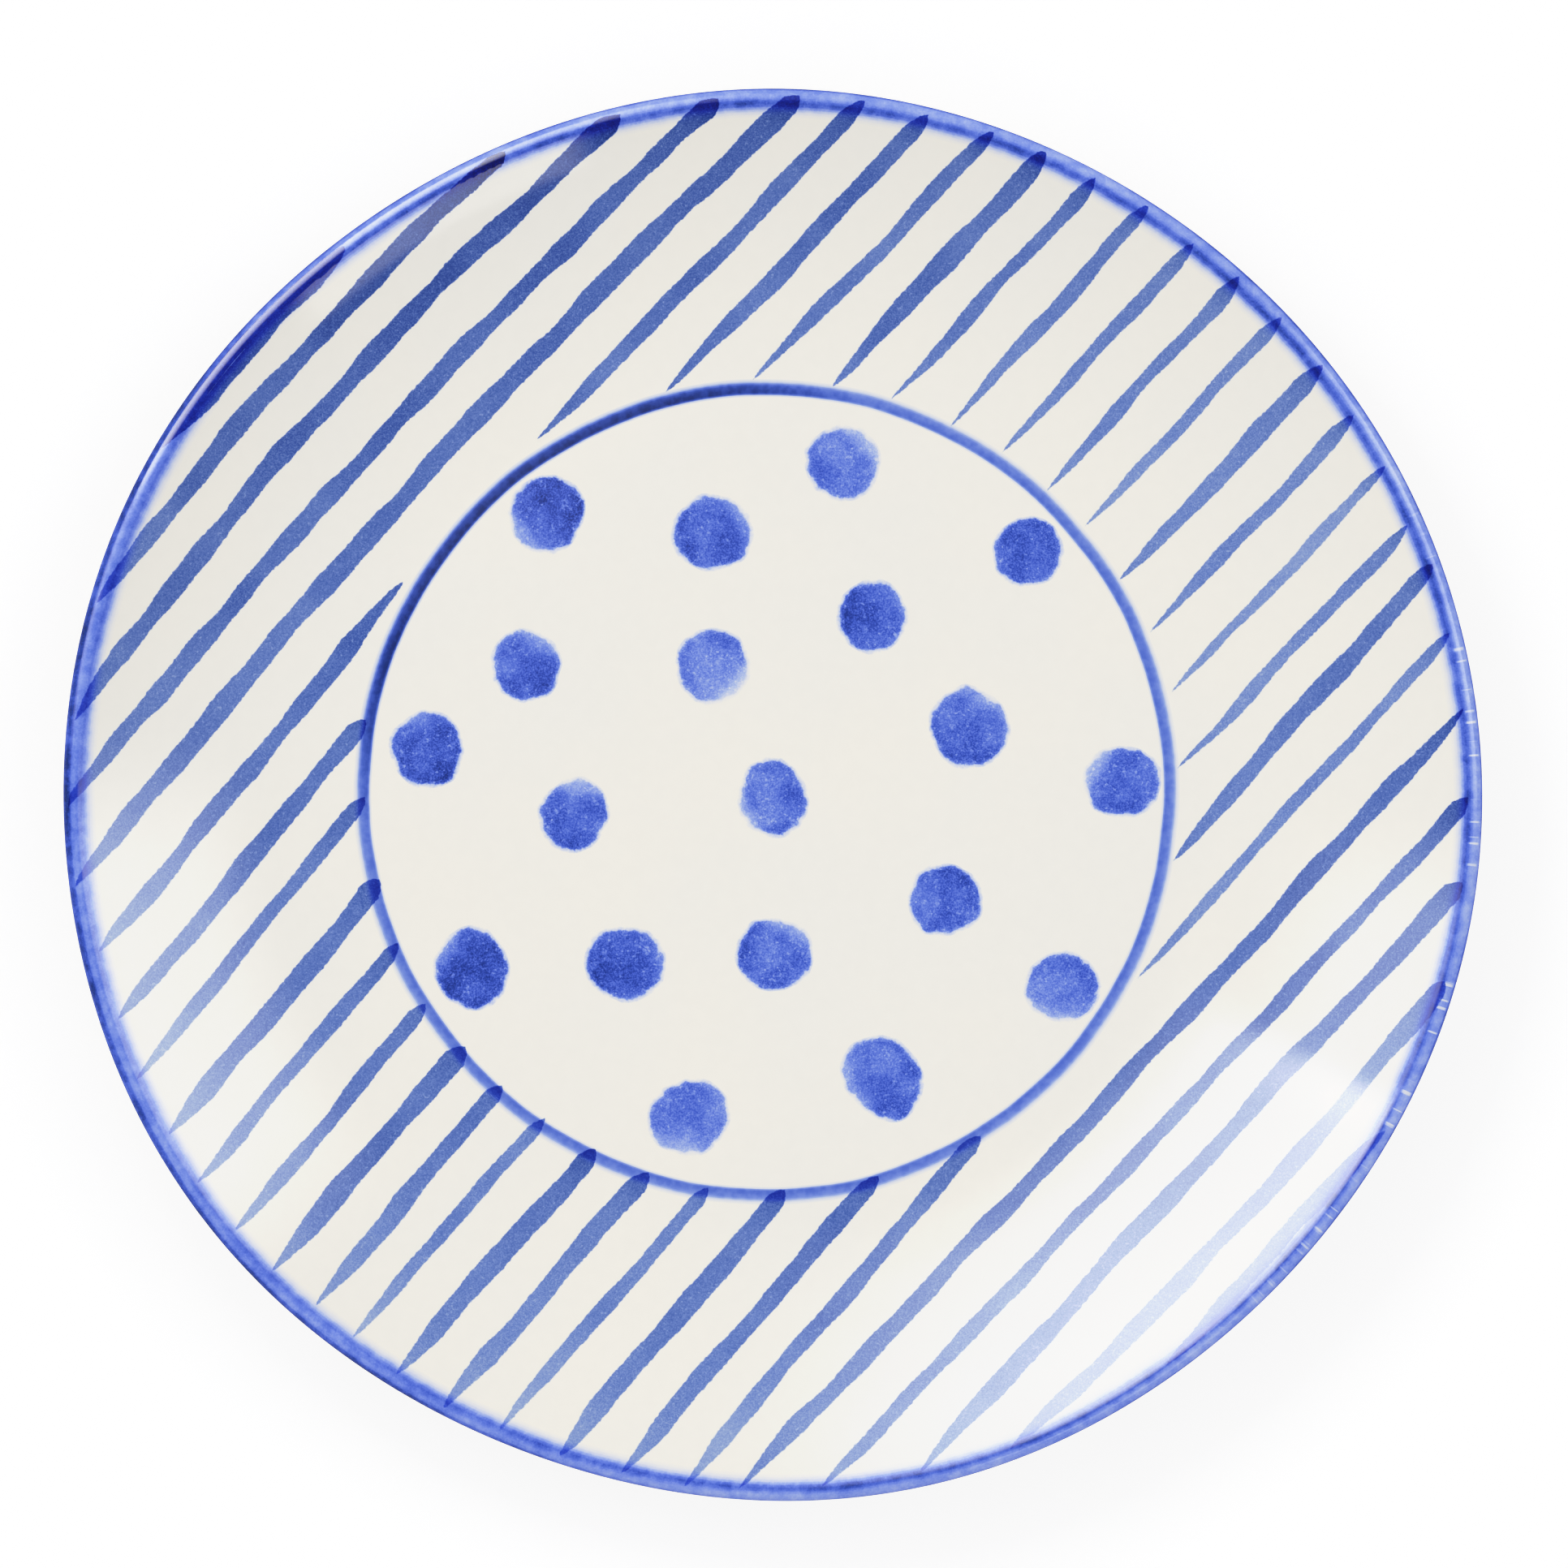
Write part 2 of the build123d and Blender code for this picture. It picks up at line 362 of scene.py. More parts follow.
# The rows are close at the inner edge, where the paint dips into the glaze, and then even
FACE_SHARES = np.array([0, 0.02, 0.04, 0.15, 0.29, 0.43, 0.57, 0.72, 0.86, 1.0])


def band_rows(lift):
    """Points along the lip's section, from the face to the back, for every direction.

    Two calls with different lifts give points that stand straight above each other.
    """
    glazed_lip = lip_radius(angles)[:, None] + GLAZE
    centre, upper_lean, lower_lean, upper, lower = lip_rounding()
    reach = LIP_ROUND + lift
    start = np.arcsin((glazed_lip - BAND_ON_FACE - WELL_RADIUS) / (RIM_ARC - GLAZE))
    face = arc_point(start + (upper_lean - start) * FACE_SHARES, RIM_ARC - lift)
    turn = (math.pi / 2 + upper_lean) * (1 - np.linspace(0, 1, CROWN_STEPS + 1)[1:])
    crown = (centre + reach * np.cos(turn), upper + reach * np.sin(turn))
    turn = -(math.pi / 2 - lower_lean) * np.linspace(0, 1, UNDER_STEPS)
    under = (centre + reach * np.cos(turn), lower + reach * np.sin(turn))
    stop = np.arcsin((glazed_lip - BAND_ON_BACK - WELL_RADIUS) / (RIM_ARC + WALL + GLAZE))
    stop = np.minimum(stop, lower_lean - 0.001)
    back = arc_point(lower_lean + (stop - lower_lean) * np.linspace(0, 1, 3)[1:], RIM_ARC + WALL + lift)
    radius = np.concatenate([face[0], crown[0], under[0], back[0]], 1)
    height = np.concatenate([face[1], crown[1], under[1], back[1]], 1)
    x = radius * np.cos(angles)[:, None]
    y = radius * np.sin(angles)[:, None]
    return np.stack([x, y, height], -1)


# %% The band as a piece
band_points = band_rows(GLAZE + PROUD)
band_core = band_rows(GLAZE)
band_normals = band_points - band_core
band_normals /= np.linalg.norm(band_normals, axis=-1, keepdims=True)
columns = band_points.shape[1]
band_points[:, [0, -1]] -= band_normals[:, [0, -1]] * 2 * PROUD
from_lip = distance_from_lip(band_core[..., 0], band_core[..., 1])
outermost = len(FACE_SHARES) + CROWN_STEPS - 1
from_lip = np.where(np.arange(columns) > outermost, -from_lip, from_lip)  # the back counts as beyond the lip
lip_band = painted_sliver(
    "lip_band_paint", "lip_band", band_points.reshape(-1, 3), band_normals.reshape(-1, 3),
    [face[::-1] for face in grid_faces(TURNS, columns, closed=True)], {"from_lip": from_lip.ravel()},
)
print("band points", len(lip_band.data.vertices))

# %% [markdown]
# The ring round the well
#
# The ring is one turn of the wheel under a small round brush. Its centre is read from the CAD
# ring's own box, because the painter's centre is a little off the plate's. A circle with a bevel
# would stand up like a wire, so the mesh is a flat washer, a little wider than the stroke, and the
# soft edge has room to fade.

# %% The ring's mesh
ring_low, ring_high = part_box("centre_ring")
PATTERN_X = (ring_low.x + ring_high.x) / 2
PATTERN_Y = (ring_low.y + ring_high.y) / 2
RING_RADIUS = 77.6 * MM
RING_REACH = 2.2 * MM
RING_ROWS = 9
print(f"pattern centre {PATTERN_X / MM:.2f}, {PATTERN_Y / MM:.2f} mm")

offsets = np.linspace(-RING_REACH, RING_REACH, RING_ROWS)
ring_x = PATTERN_X + (RING_RADIUS + offsets) * np.cos(angles)[:, None]
ring_y = PATTERN_Y + (RING_RADIUS + offsets) * np.sin(angles)[:, None]
ring_points, ring_normals = face_surface(ring_x, ring_y, GLAZE + PROUD)
ring_points[:, [0, -1]] -= ring_normals[:, [0, -1]] * 2 * PROUD
centre_ring = painted_sliver(
    "centre_ring_paint", "centre_ring", ring_points.reshape(-1, 3), ring_normals.reshape(-1, 3),
    [face[::-1] for face in grid_faces(TURNS, RING_ROWS, closed=True)], {},
)
print("ring points", len(centre_ring.data.vertices))

# %% [markdown]
# Dabbed dots
#
# Each dot is one press of a small sponge or a fingertip, so no two are alike: the outline bulges,
# one side is pale where the sponge lifted early, and another holds a darker pool. Copies of one
# disc would look stamped. So each dot is a disc of rings pushed in and out by a few waves with
# phases of its own, and a table says where its pale side and its pool lie.

# %% How each dot was pressed
# number: (pale side in degrees, how pale, pool in degrees, how dark, load, stretch, stretch direction)
DABS = {
    1: (50, 0.75, 200, 0.3, 0.75, 1.00, 0),
    2: (220, 0.85, 60, 0.5, 1.15, 1.03, 60),
    3: (30, 0.55, 190, 0.4, 0.93, 1.04, 0),
    4: (200, 0.15, 30, 0.3, 0.95, 1.02, 30),
    5: (10, 0.15, 150, 0.4, 1.00, 1.02, 80),
    6: (60, 0.50, 300, 0.5, 0.88, 1.03, 100),
    7: (320, 0.90, 70, 0.4, 0.72, 1.02, 90),
    8: (60, 0.60, 250, 0.4, 0.92, 1.03, 120),
    9: (90, 0.45, 290, 0.5, 1.10, 1.03, 100),
    10: (150, 0.80, 310, 0.5, 0.85, 1.06, 0),
    11: (200, 0.75, 20, 0.6, 0.87, 1.08, 100),
    12: (80, 0.65, 260, 0.5, 0.86, 1.05, 60),
    13: (190, 0.25, 60, 0.4, 0.93, 1.02, 0),
    14: (60, 0.50, 180, 0.6, 0.87, 1.04, 0),
    15: (20, 0.35, 200, 0.4, 0.98, 1.04, 170),
    16: (150, 0.45, 290, 0.5, 1.08, 1.06, 100),
    17: (250, 0.55, 90, 0.4, 0.80, 1.04, 0),
    18: (200, 0.55, 330, 0.5, 0.85, 1.10, 130),
    19: (250, 0.60, 120, 0.3, 0.72, 1.06, 20),
}
print(sum(row[1] > 0.7 for row in DABS.values()), "dots have a very pale side")

# %% One dot's mesh
DOT_MARGIN = 0.9 * MM
DOT_TURNS = 72
DOT_RINGS = 11
# Bulges of the outline: (how many round the dot, height as a share of the radius)
DOT_BULGES = ((3, 0.020), (4, 0.014), (5, 0.014), (7, 0.010), (11, 0.008), (17, 0.006))
dot_angles = np.linspace(0, 2 * math.pi, DOT_TURNS, endpoint=False)


def dab(number):
    """A dabbed dot in the place of its CAD node."""
    pale_side, pale, pool_side, pool, load, stretch, stretch_side = DABS[number]
    node = f"dot_{number:02d}"
    low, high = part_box(node)
    centre = ((low.x + high.x) / 2, (low.y + high.y) / 2)
    hand = np.random.RandomState(100 + number)
    edge = np.full(DOT_TURNS, (high.x - low.x) / 2)
    edge *= 1 + (stretch - 1) * np.cos(2 * (dot_angles - math.radians(stretch_side)))
    for waves, height in DOT_BULGES:
        edge *= 1 + height * hand.uniform(0.4, 1.4) * np.cos(waves * dot_angles + hand.uniform(0, 6.28))
    edge += 0.1 * MM
    outer = edge + DOT_MARGIN
    shares = np.concatenate([np.linspace(0.12, 0.8, DOT_RINGS - 5), [0.87, 0.93, 0.97, 1.0, 1.04]])
    radius = shares[None, :] * edge[:, None]
    radius[:, -1] = outer
    x = centre[0] + np.append(radius * np.cos(dot_angles)[:, None], 0)
    y = centre[1] + np.append(radius * np.sin(dot_angles)[:, None], 0)
    points, normals = face_surface(x, y, GLAZE + PROUD)
    last = np.arange(DOT_TURNS) * DOT_RINGS + DOT_RINGS - 1
    points[last] -= normals[last] * 2 * PROUD
    faces = [face[::-1] for face in grid_faces(DOT_TURNS, DOT_RINGS, closed=True)]
    middle = len(x) - 1
    for turn in range(DOT_TURNS):
        faces.append((middle, turn * DOT_RINGS, (turn + 1) % DOT_TURNS * DOT_RINGS))
    share_x = (x - centre[0]) / edge.mean()
    share_y = (y - centre[1]) / edge.mean()
    pale_side, pool_side = math.radians(pale_side), math.radians(pool_side)
    towards_pale = share_x * math.cos(pale_side) + share_y * math.sin(pale_side)
    towards_pool = share_x * math.cos(pool_side) + share_y * math.sin(pool_side)
    crescent = np.clip((towards_pale - 0.5) / 0.3, 0, 1)
    crescent = crescent * crescent * (3 - 2 * crescent)
    paleness = pale * (0.25 * np.clip(towards_pale, 0, 1) + 0.5 * crescent)
    pigment = load * (1 - paleness + pool * 0.3 * np.clip(towards_pool, 0, 1))
    inside = np.append((edge[:, None] - radius).ravel(), edge.mean()) / MM
    notes = {"inside": inside, "pigment": pigment}
    piece = painted_sliver(node + "_paint", node, points, normals, faces, notes)
    return piece


dots = [dab(number) for number in sorted(DABS)]
print(len(dots), "dots")

# %% [markdown]
# Strokes
#
# Every stroke was pulled the same way, up to the right at 47 degrees, with a small round brush.
# The strokes right of the ring start in a fine point beside it and end wet on the band. Those on
# the left start thin and pale at the lip and end full against the ring; their pale start is partly
# thin paint and partly a painted reflection of the sheen on the rim near the lip. The rows above
# and below the ring run from lip to lip. A curve with a bevel would give one even width, so each
# stroke is a strip of cross rows instead, whose width swells and thins as the hand's pressure did.

# %% Where each stroke starts and ends
# Places are along and across the pull, in mm from the painter's centre.
# (row, start along, start across, end along, end across, width, pigment)
RIGHT_STROKES = (
    (7, 19.5, 78.3, 109, 76.3, 3.3, 1.05), (6, 43, 66.5, 115, 65.5, 3.5, 1.05),
    (5, 56, 55.8, 121.5, 54.2, 3.0, 0.95), (4, 65.5, 44.1, 125.5, 44.2, 4.0, 1.05),
    (3, 71.5, 33.7, 128, 33.9, 2.8, 0.95), (2, 75.5, 22.1, 131.5, 23, 3.0, 0.86),
    (1, 78.5, 11.3, 131.5, 11.7, 2.8, 0.84), (0, 79, 0.2, 133, 1, 2.8, 0.84),
    (-1, 79, -10, 133, -10.2, 2.6, 0.76), (-2, 76, -22, 131.5, -22.2, 3.6, 0.82),
    (-3, 72.5, -33.1, 128.5, -33, 2.8, 0.80), (-4, 67, -43.9, 125.5, -44, 2.4, 0.68),
    (-5, 57, -54.9, 120, -54.8, 2.6, 0.78), (-6, 43.5, -65.9, 118, -63.3, 3.6, 0.95),
    (-7, 22.5, -76.6, 110.5, -74.7, 2.4, 0.78),
)
LEFT_STROKES = (
    (7, -109, 72.2, -18.5, 78.6, 3.4, 1.00), (6, -116, 60.8, -43.5, 65.9, 3.6, 0.95),
    (5, -122, 50.5, -54.5, 55.8, 2.9, 0.90), (4, -125.5, 38.8, -64, 42.6, 4.0, 0.95),
    (3, -128.5, 28.5, -70.5, 31.9, 3.0, 0.90), (2, -130.3, 16.9, -75.5, 20, 3.0, 0.90),
    (1, -131.2, 6.8, -76.3, 9.1, 4.0, 1.00), (0, -130.3, -4, -77, -1.1, 3.5, 0.90),
    (-1, -130, -13.1, -76, -11.4, 2.7, 0.82), (-2, -129.2, -24, -73.6, -22.8, 4.0, 0.96),
    (-3, -128, -35.2, -70, -33, 3.7, 0.86), (-4, -123.7, -45.6, -64.4, -43.8, 2.9, 0.80),
    (-5, -119.6, -57.2, -54.6, -55, 4.0, 0.93), (-6, -114, -68.2, -40.4, -65.9, 3.5, 0.96),
    (-7, -107.6, -78.6, -21.4, -75.1, 3.2, 0.88),
)
# A long stroke also names a place on the way, because it bows: (..., middle along, middle across)
LONG_STROKES = (
    (11, -61, 117.7, 55, 120, 3.5, 1.15, 10, 121.9), (10, -80, 105.8, 75, 108.3, 3.6, 1.18, 25, 111.9),
    (9, -94.3, 95.6, 90, 97, 3.5, 1.12, 10, 100.2), (8, -103, 84, 101, 86, 3.9, 1.06, 10, 89.6),
    (-8, -100.5, -86.6, 102, -86.3, 3.4, 1.00, 0, -88), (-9, -90, -98.2, 90, -98.7, 2.9, 0.95, 10, -99.5),
    (-10, -75, -109.8, 77.5, -108.9, 3.5, 0.90, 20, -109.2),
    (-11, -60, -119.4, 61.5, -119.2, 3.3, 0.70, 0, -122),
)
EDGE_STROKES = (
    ("edge_stroke_high", -31, 129.0, 21, 129.8, 4.9, 1.4, -4, 130.5),
    ("edge_stroke_low", -28, -130.4, 33, -130.0, 3.0, 0.6, 0, -130.2),
)
print(len(RIGHT_STROKES) + len(LEFT_STROKES) + len(LONG_STROKES) + len(EDGE_STROKES), "strokes")

# %% The hand's wander
def wander(along, hand, waves):
    """A smooth wandering line about zero, as a sum of a few slow waves: (length in mm, height)."""
    line = np.zeros_like(along)
    for length, height in waves:
        high = height * hand.uniform(0.5, 1.3)
        wave = length * hand.uniform(0.8, 1.25)
        line += high * np.sin(2 * math.pi * along / wave + hand.uniform(0, 6.28))
    return line


trial = wander(np.linspace(0, 50, 200), np.random.RandomState(1), ((43, 0.20), (22, 0.11)))
print(f"a stroke wanders {np.ptp(trial):.2f} mm or so in 50 mm")

# %% Keeping paint inside the lip
LIP_CLEARANCE = 0.9  # mm
EASE_OVER = 0.8  # mm over which points start to be held back


def keep_inside(x, y):
    """Moves points that come within a lip's rounding inward, the more the nearer they are."""
    near = distance_from_lip(x, y)
    eased = LIP_CLEARANCE + EASE_OVER * np.exp((near - LIP_CLEARANCE - EASE_OVER) / EASE_OVER)
    wanted = np.where(near < LIP_CLEARANCE + EASE_OVER, eased, near)
    pull_in = 1 - (wanted - near) * MM / np.hypot(x, y)
    return x * pull_in, y * pull_in


# %% Rows along and across a stroke
STROKE_MARGIN = 0.55  # mm of bare mesh round a stroke, for its edge to fray in
STROKE_SHARES = np.array([-1.0, -0.82, -0.55, -0.28, 0.0, 0.28, 0.55, 0.82, 1.0])
FINE_STRETCH = 7  # mm at both ends
FINE_STEP = 0.3
COARSE_STEP = 0.9


def stations(length):
    """Places along a stroke in mm: close together near both ends, where the lip bends the surface."""
    fine = np.arange(-STROKE_MARGIN, FINE_STRETCH, FINE_STEP)
    fine = fine[fine < FINE_STRETCH - 0.1]
    count = max(int((length - 2 * FINE_STRETCH) / COARSE_STEP), 2)
    coarse = np.linspace(FINE_STRETCH, length - FINE_STRETCH, count)
    return np.concatenate([fine, coarse, (length - fine)[::-1]])


print("rows along a 60 mm stroke:", len(stations(60.0)))

# %% One stroke's mesh
PULL = math.radians(47)
PAINT_LIFT = 2.5 * PROUD  # above the ring and the band, which a stroke may cross
LINE_WAVES = ((43, 0.20), (22, 0.11), (12, 0.035))  # mm
WIDTH_WAVES = ((34, 0.10), (15, 0.055), (7, 0.02))  # share of the width
LOAD_WAVES = ((46, 0.07), (17, 0.03))  # share of the pigment
WET_LENGTH = 8  # mm before a stroke's end in which its pool gathers


def pull_stroke(name, node, start, end, width, pigment, seed, start_taper, end_taper, loads,
                middle=None, wet_end=0.0):
    """A brush stroke from start to end, tapering over the lengths given, wet or dry along its way."""
    hand = np.random.RandomState(seed)
    start = np.array(start, float)
    end = np.array(end, float)
    length = np.linalg.norm(end - start)
    direction = (end - start) / length
    side = np.array([-direction[1], direction[0]])
    along = stations(length)
    share = np.clip(along / length, 0, 1)
    bow = 0.0
    if middle is not None:
        at = np.dot(np.array(middle) - start, direction) / length
        aside = np.dot(np.array(middle) - start, side)
        bow = aside / (4 * at * (1 - at)) * 4 * share * (1 - share)
    sideways = bow + wander(along, hand, LINE_WAVES)
    centre = start + direction * along[:, None] + side * sideways[:, None]
    pressure = 1 + wander(along, hand, WIDTH_WAVES)
    grow = np.clip(along / start_taper, 0, 1) ** 0.6
    fall = np.clip((length - along) / end_taper, 0, 1) ** 0.5
    half = width / 2 * pressure * np.minimum(grow, fall)
    from_end = np.minimum(along, length - along)
    cap = np.sqrt(1 - np.clip(-from_end / STROKE_MARGIN, 0, 1) ** 2)
    across = STROKE_SHARES * (half + STROKE_MARGIN * np.maximum(cap, 0.12))[:, None]
    u = centre[:, 0, None] + side[0] * across
    v = centre[:, 1, None] + side[1] * across
    x = PATTERN_X + (u * math.cos(PULL) - v * math.sin(PULL)) * MM
    y = PATTERN_Y + (u * math.sin(PULL) + v * math.cos(PULL)) * MM
    x, y = keep_inside(x, y)
    points, normals = face_surface(x, y, GLAZE + PAINT_LIFT)
    dip = np.zeros(points.shape[:2], bool)
    dip[[0, -1]] = True
    dip[:, [0, -1]] = True
    points[dip] -= normals[dip] * 3 * PROUD
    inside = np.minimum(half[:, None] - np.abs(across), from_end[:, None] + 0.15)
    load = np.interp(share, (0, 0.5, 1), loads) * pigment
    load = load * (1 + wander(along, hand, LOAD_WAVES))
    load = load * (1 + wet_end * np.clip(1 - (length - along) / WET_LENGTH, 0, 1))
    notes = {
        "inside": inside.ravel(),
        "pigment": (load[:, None] * np.ones_like(across)).ravel(),
        "from_lip": distance_from_lip(x, y).ravel(),
    }
    faces = grid_faces(len(along), len(STROKE_SHARES))
    piece = painted_sliver(name, node, points.reshape(-1, 3), normals.reshape(-1, 3), faces, notes)
    return piece


# %% Pull all of them
MIDDLE_ROW = 12
ON_THE_RING = 0.8  # how far the left strokes run onto the ring, in mm
WET_ENDS = {11: 1.55, 10: 1.25}  # long rows that end in a pool
FINE_ENDS = {-8: 18.0, 7: 14.0}  # rows that end in a point, and how long the point is
RIGHT_BRUSH = {"start_taper": 20, "end_taper": 4.5, "loads": (0.95, 1.0, 1.05), "wet_end": 0.35}
# The left strokes' low pigment at the start, near the lip, is partly a painted reflection of the rim's sheen
LEFT_BRUSH = {"start_taper": 12, "loads": (0.66, 1.04, 1.1), "wet_end": 0.1}
LONG_BRUSH = {"start_taper": 16, "wet_end": 0.3}
EDGE_BRUSH = {"start_taper": 14, "end_taper": 10.0, "loads": (1, 1, 1)}


def row_node(row):
    """The name of a row's CAD node."""
    return f"stroke_row_{row + MIDDLE_ROW:02d}"


strokes = []
for row, u0, v0, u1, v1, width, pigment in RIGHT_STROKES:
    strokes.append(pull_stroke(row_node(row) + "_right", row_node(row), (u0, v0), (u1, v1), width, pigment,
                               200 + row, **RIGHT_BRUSH))
for row, u0, v0, u1, v1, width, pigment in LEFT_STROKES:
    reach = 0 if row in FINE_ENDS else ON_THE_RING
    strokes.append(pull_stroke(row_node(row) + "_left", row_node(row), (u0, v0), (u1 + reach, v1), width,
                               pigment, 300 + row, end_taper=FINE_ENDS.get(row, 3.0), **LEFT_BRUSH))
for row, u0, v0, u1, v1, width, pigment, um, vm in LONG_STROKES:
    loads = (0.78, 1.0, WET_ENDS.get(row, 1.1))
    strokes.append(pull_stroke(row_node(row) + "_long", row_node(row), (u0, v0), (u1, v1), width, pigment,
                               400 + row, end_taper=FINE_ENDS.get(row, 2.5), loads=loads, middle=(um, vm),
                               **LONG_BRUSH))
for node, u0, v0, u1, v1, width, pigment, um, vm in EDGE_STROKES:
    strokes.append(pull_stroke(node + "_paint", node, (u0, v0), (u1, v1), width, pigment,
                               500 + int(u0), middle=(um, vm), **EDGE_BRUSH))
print(len(strokes), "strokes pulled")

# %% [markdown]
# Building blocks for the materials
#
# Several finishes share the same effects: the cream ground, the way cobalt darkens what is under
# it, the grain of the pigment. Each material could hold its own copy of those nodes, but then one
# correction has to be made five times. So each effect is a node group with named sockets, built
# once and placed in each material. Shaders stay in the materials themselves.

# %% Adding a node
def add_node(tree, kind, inputs=None, **settings):
    """A node with its settings, and each input given a value or joined to another node's output."""
    made = tree.nodes.new(kind)
    for key, value in settings.items():
        setattr(made, key, value)
    for key, value in (inputs or {}).items():
        if isinstance(value, bpy.types.NodeSocket):
            tree.links.new(value, made.inputs[key])
        else:
            made.inputs[key].default_value = value
    return made


# %% Arithmetic
def maths(tree, operation, *values):
    """The output of a Math node on values or sockets."""
    return add_node(tree, "ShaderNodeMath", dict(enumerate(values)), operation=operation).outputs[0]


def sum_of(tree, *values):
    """All the values added up."""
    made = values[0]
    for value in values[1:]:
        made = maths(tree, "ADD", made, value)
    return made


def product_of(tree, *values):
    """All the values multiplied."""
    made = values[0]
    for value in values[1:]:
        made = maths(tree, "MULTIPLY", made, value)
    return made


def vector_maths(tree, operation, *values, output="Vector"):
    """The output of a Vector Math node on values or sockets."""
    made = add_node(tree, "ShaderNodeVectorMath", dict(enumerate(values)), operation=operation)
    return made.outputs[output]


def scaled(tree, vector, factor):
    """A vector made longer or shorter by a factor."""
    inputs = {0: vector, "Scale": factor}
    return add_node(tree, "ShaderNodeVectorMath", inputs, operation="SCALE").outputs["Vector"]


# %% Steps and noise
def ease(tree, value, low, high, to_low=0.0, to_high=1.0):
    """A smooth step from to_low at low to to_high at high."""
    inputs = {"Value": value, "From Min": low, "From Max": high, "To Min": to_low, "To Max": to_high}
    return add_node(tree, "ShaderNodeMapRange", inputs, interpolation_type="SMOOTHSTEP").outputs["Result"]


def noise(tree, place, scale, detail, roughness=0.5):
    """A noise value about 0.5, with scale in features a metre."""
    inputs = {"Vector": place, "Scale": scale, "Detail": detail, "Roughness": roughness}
    return add_node(tree, "ShaderNodeTexNoise", inputs).outputs["Fac"]


# %% Node groups
def new_group(name, takes, gives):
    """An empty node group with sockets, and the nodes at its two ends."""
    group = bpy.data.node_groups.new(name, "ShaderNodeTree")
    for label, kind in takes:
        group.interface.new_socket(label, in_out="INPUT", socket_type=kind)
    for label, kind in gives:
        group.interface.new_socket(label, in_out="OUTPUT", socket_type=kind)
    return group, group.nodes.new("NodeGroupInput").outputs, group.nodes.new("NodeGroupOutput").inputs


def use_group(tree, group, **inputs):
    """A group placed in a tree, with underscores in names for spaces. Returns its outputs."""
    made = tree.nodes.new("ShaderNodeGroup")
    made.node_tree = group
    for key, value in inputs.items():
        socket = made.inputs[key.replace("_", " ")]
        if isinstance(value, bpy.types.NodeSocket):
            tree.links.new(value, socket)
        else:
            socket.default_value = value
    return made.outputs


# %% [markdown]
# The cream ground
#
# The glaze is a warm cream that clouds into slightly warmer and cooler patches, with the faintest
# speckle. One flat colour would look like plastic, and strong clouds like marble. Slow noise moves
# the colour by a hundredth or two, which is as much as the eye sees on the real thing.

# %% Group: cream ground
CREAM_WARM = (0.875, 0.838, 0.745, 1)
CREAM_COOL = (0.855, 0.828, 0.752, 1)
cream_ground, given, result = new_group(
    "Cream ground", [("Place", "NodeSocketVector")], [("Color", "NodeSocketColor")]
)
clouds = noise(cream_ground, given["Place"], 22.0, 3.0)
warmth = add_node(cream_ground, "ShaderNodeMix", {
    "Factor": ease(cream_ground, clouds, 0.3, 0.7), "A": CREAM_WARM, "B": CREAM_COOL,
}, data_type="RGBA")
speckle = ease(cream_ground, noise(cream_ground, given["Place"], 420.0, 2.0), 0.25, 0.75, 0.992, 1.006)
cream_ground.links.new(scaled(cream_ground, warmth.outputs["Result"], speckle), result["Color"])
print("cream ground:", len(cream_ground.nodes), "nodes")

# %% [markdown]
# How cobalt colours the glaze
#
# Cobalt in glaze is a filter: light goes down through it, meets the cream, and comes back through
# it. Mixing towards a flat blue makes overlaps look like cut paper. Here each channel falls off
# exponentially with the amount of pigment, red first, green next, and blue last and faster as the
# layer thickens, so two thin coats give a deeper blue and three give navy, as on the real plate.

# %% Group: cobalt over a colour
GREEN_TAKEN = 0.745  # of green, for each measure of cobalt that takes 1 of red
cobalt_wash, given, result = new_group(
    "Cobalt wash",
    [("Under", "NodeSocketColor"), ("Amount", "NodeSocketFloat"),
     ("Blue taken", "NodeSocketFloat"), ("Greyness", "NodeSocketFloat")],
    [("Color", "NodeSocketColor")],
)
amount = maths(cobalt_wash, "MAXIMUM", given["Amount"], 0.0)
blue_slope = maths(cobalt_wash, "MULTIPLY_ADD", amount, given["Greyness"], given["Blue taken"])


def light_left(taken):
    """The share of a colour channel's light that comes back through the cobalt."""
    return maths(cobalt_wash, "EXPONENT", maths(cobalt_wash, "MULTIPLY", taken, -1.0))


filter_color = add_node(cobalt_wash, "ShaderNodeCombineColor", {
    "Red": light_left(amount),
    "Green": light_left(product_of(cobalt_wash, amount, GREEN_TAKEN)),
    "Blue": light_left(product_of(cobalt_wash, amount, blue_slope)),
})
filtered = vector_maths(cobalt_wash, "MULTIPLY", given["Under"], filter_color.outputs["Color"])
cobalt_wash.links.new(filtered, result["Color"])
print("green left after one measure of cobalt:", round(math.exp(-GREEN_TAKEN), 2))

# %% [markdown]
# Grain of the pigment
#
# Ground cobalt never spreads evenly. One noise would look like fog. Under a glass the real thing
# is sand: dark grains, paler gaps, and a few specks where the glaze shows through. Three scales of
# noise and a sparse bright speck make it, and the strength is a socket, because the band is
# smoother than the strokes and the dots are coarsest.

# %% Group: grain
pigment_grain, given, result = new_group(
    "Pigment grain",
    [("Place", "NodeSocketVector"), ("Strength", "NodeSocketFloat"), ("Scale", "NodeSocketFloat")],
    [("Factor", "NodeSocketFloat")],
)
place = scaled(pigment_grain, given["Place"], given["Scale"])
coarse = ease(pigment_grain, noise(pigment_grain, place, 1300.0, 2.0, 0.6), 0.3, 0.7, -0.25, 0.25)
sand = ease(pigment_grain, noise(pigment_grain, place, 3000.0, 1.0, 0.6), 0.3, 0.7, -0.6, 0.6)
patches = ease(pigment_grain, noise(pigment_grain, place, 160.0, 2.0), 0.3, 0.7, -0.15, 0.15)
flecks = ease(pigment_grain, noise(pigment_grain, place, 1700.0, 0.0), 0.66, 0.78, 0.0, -0.9)
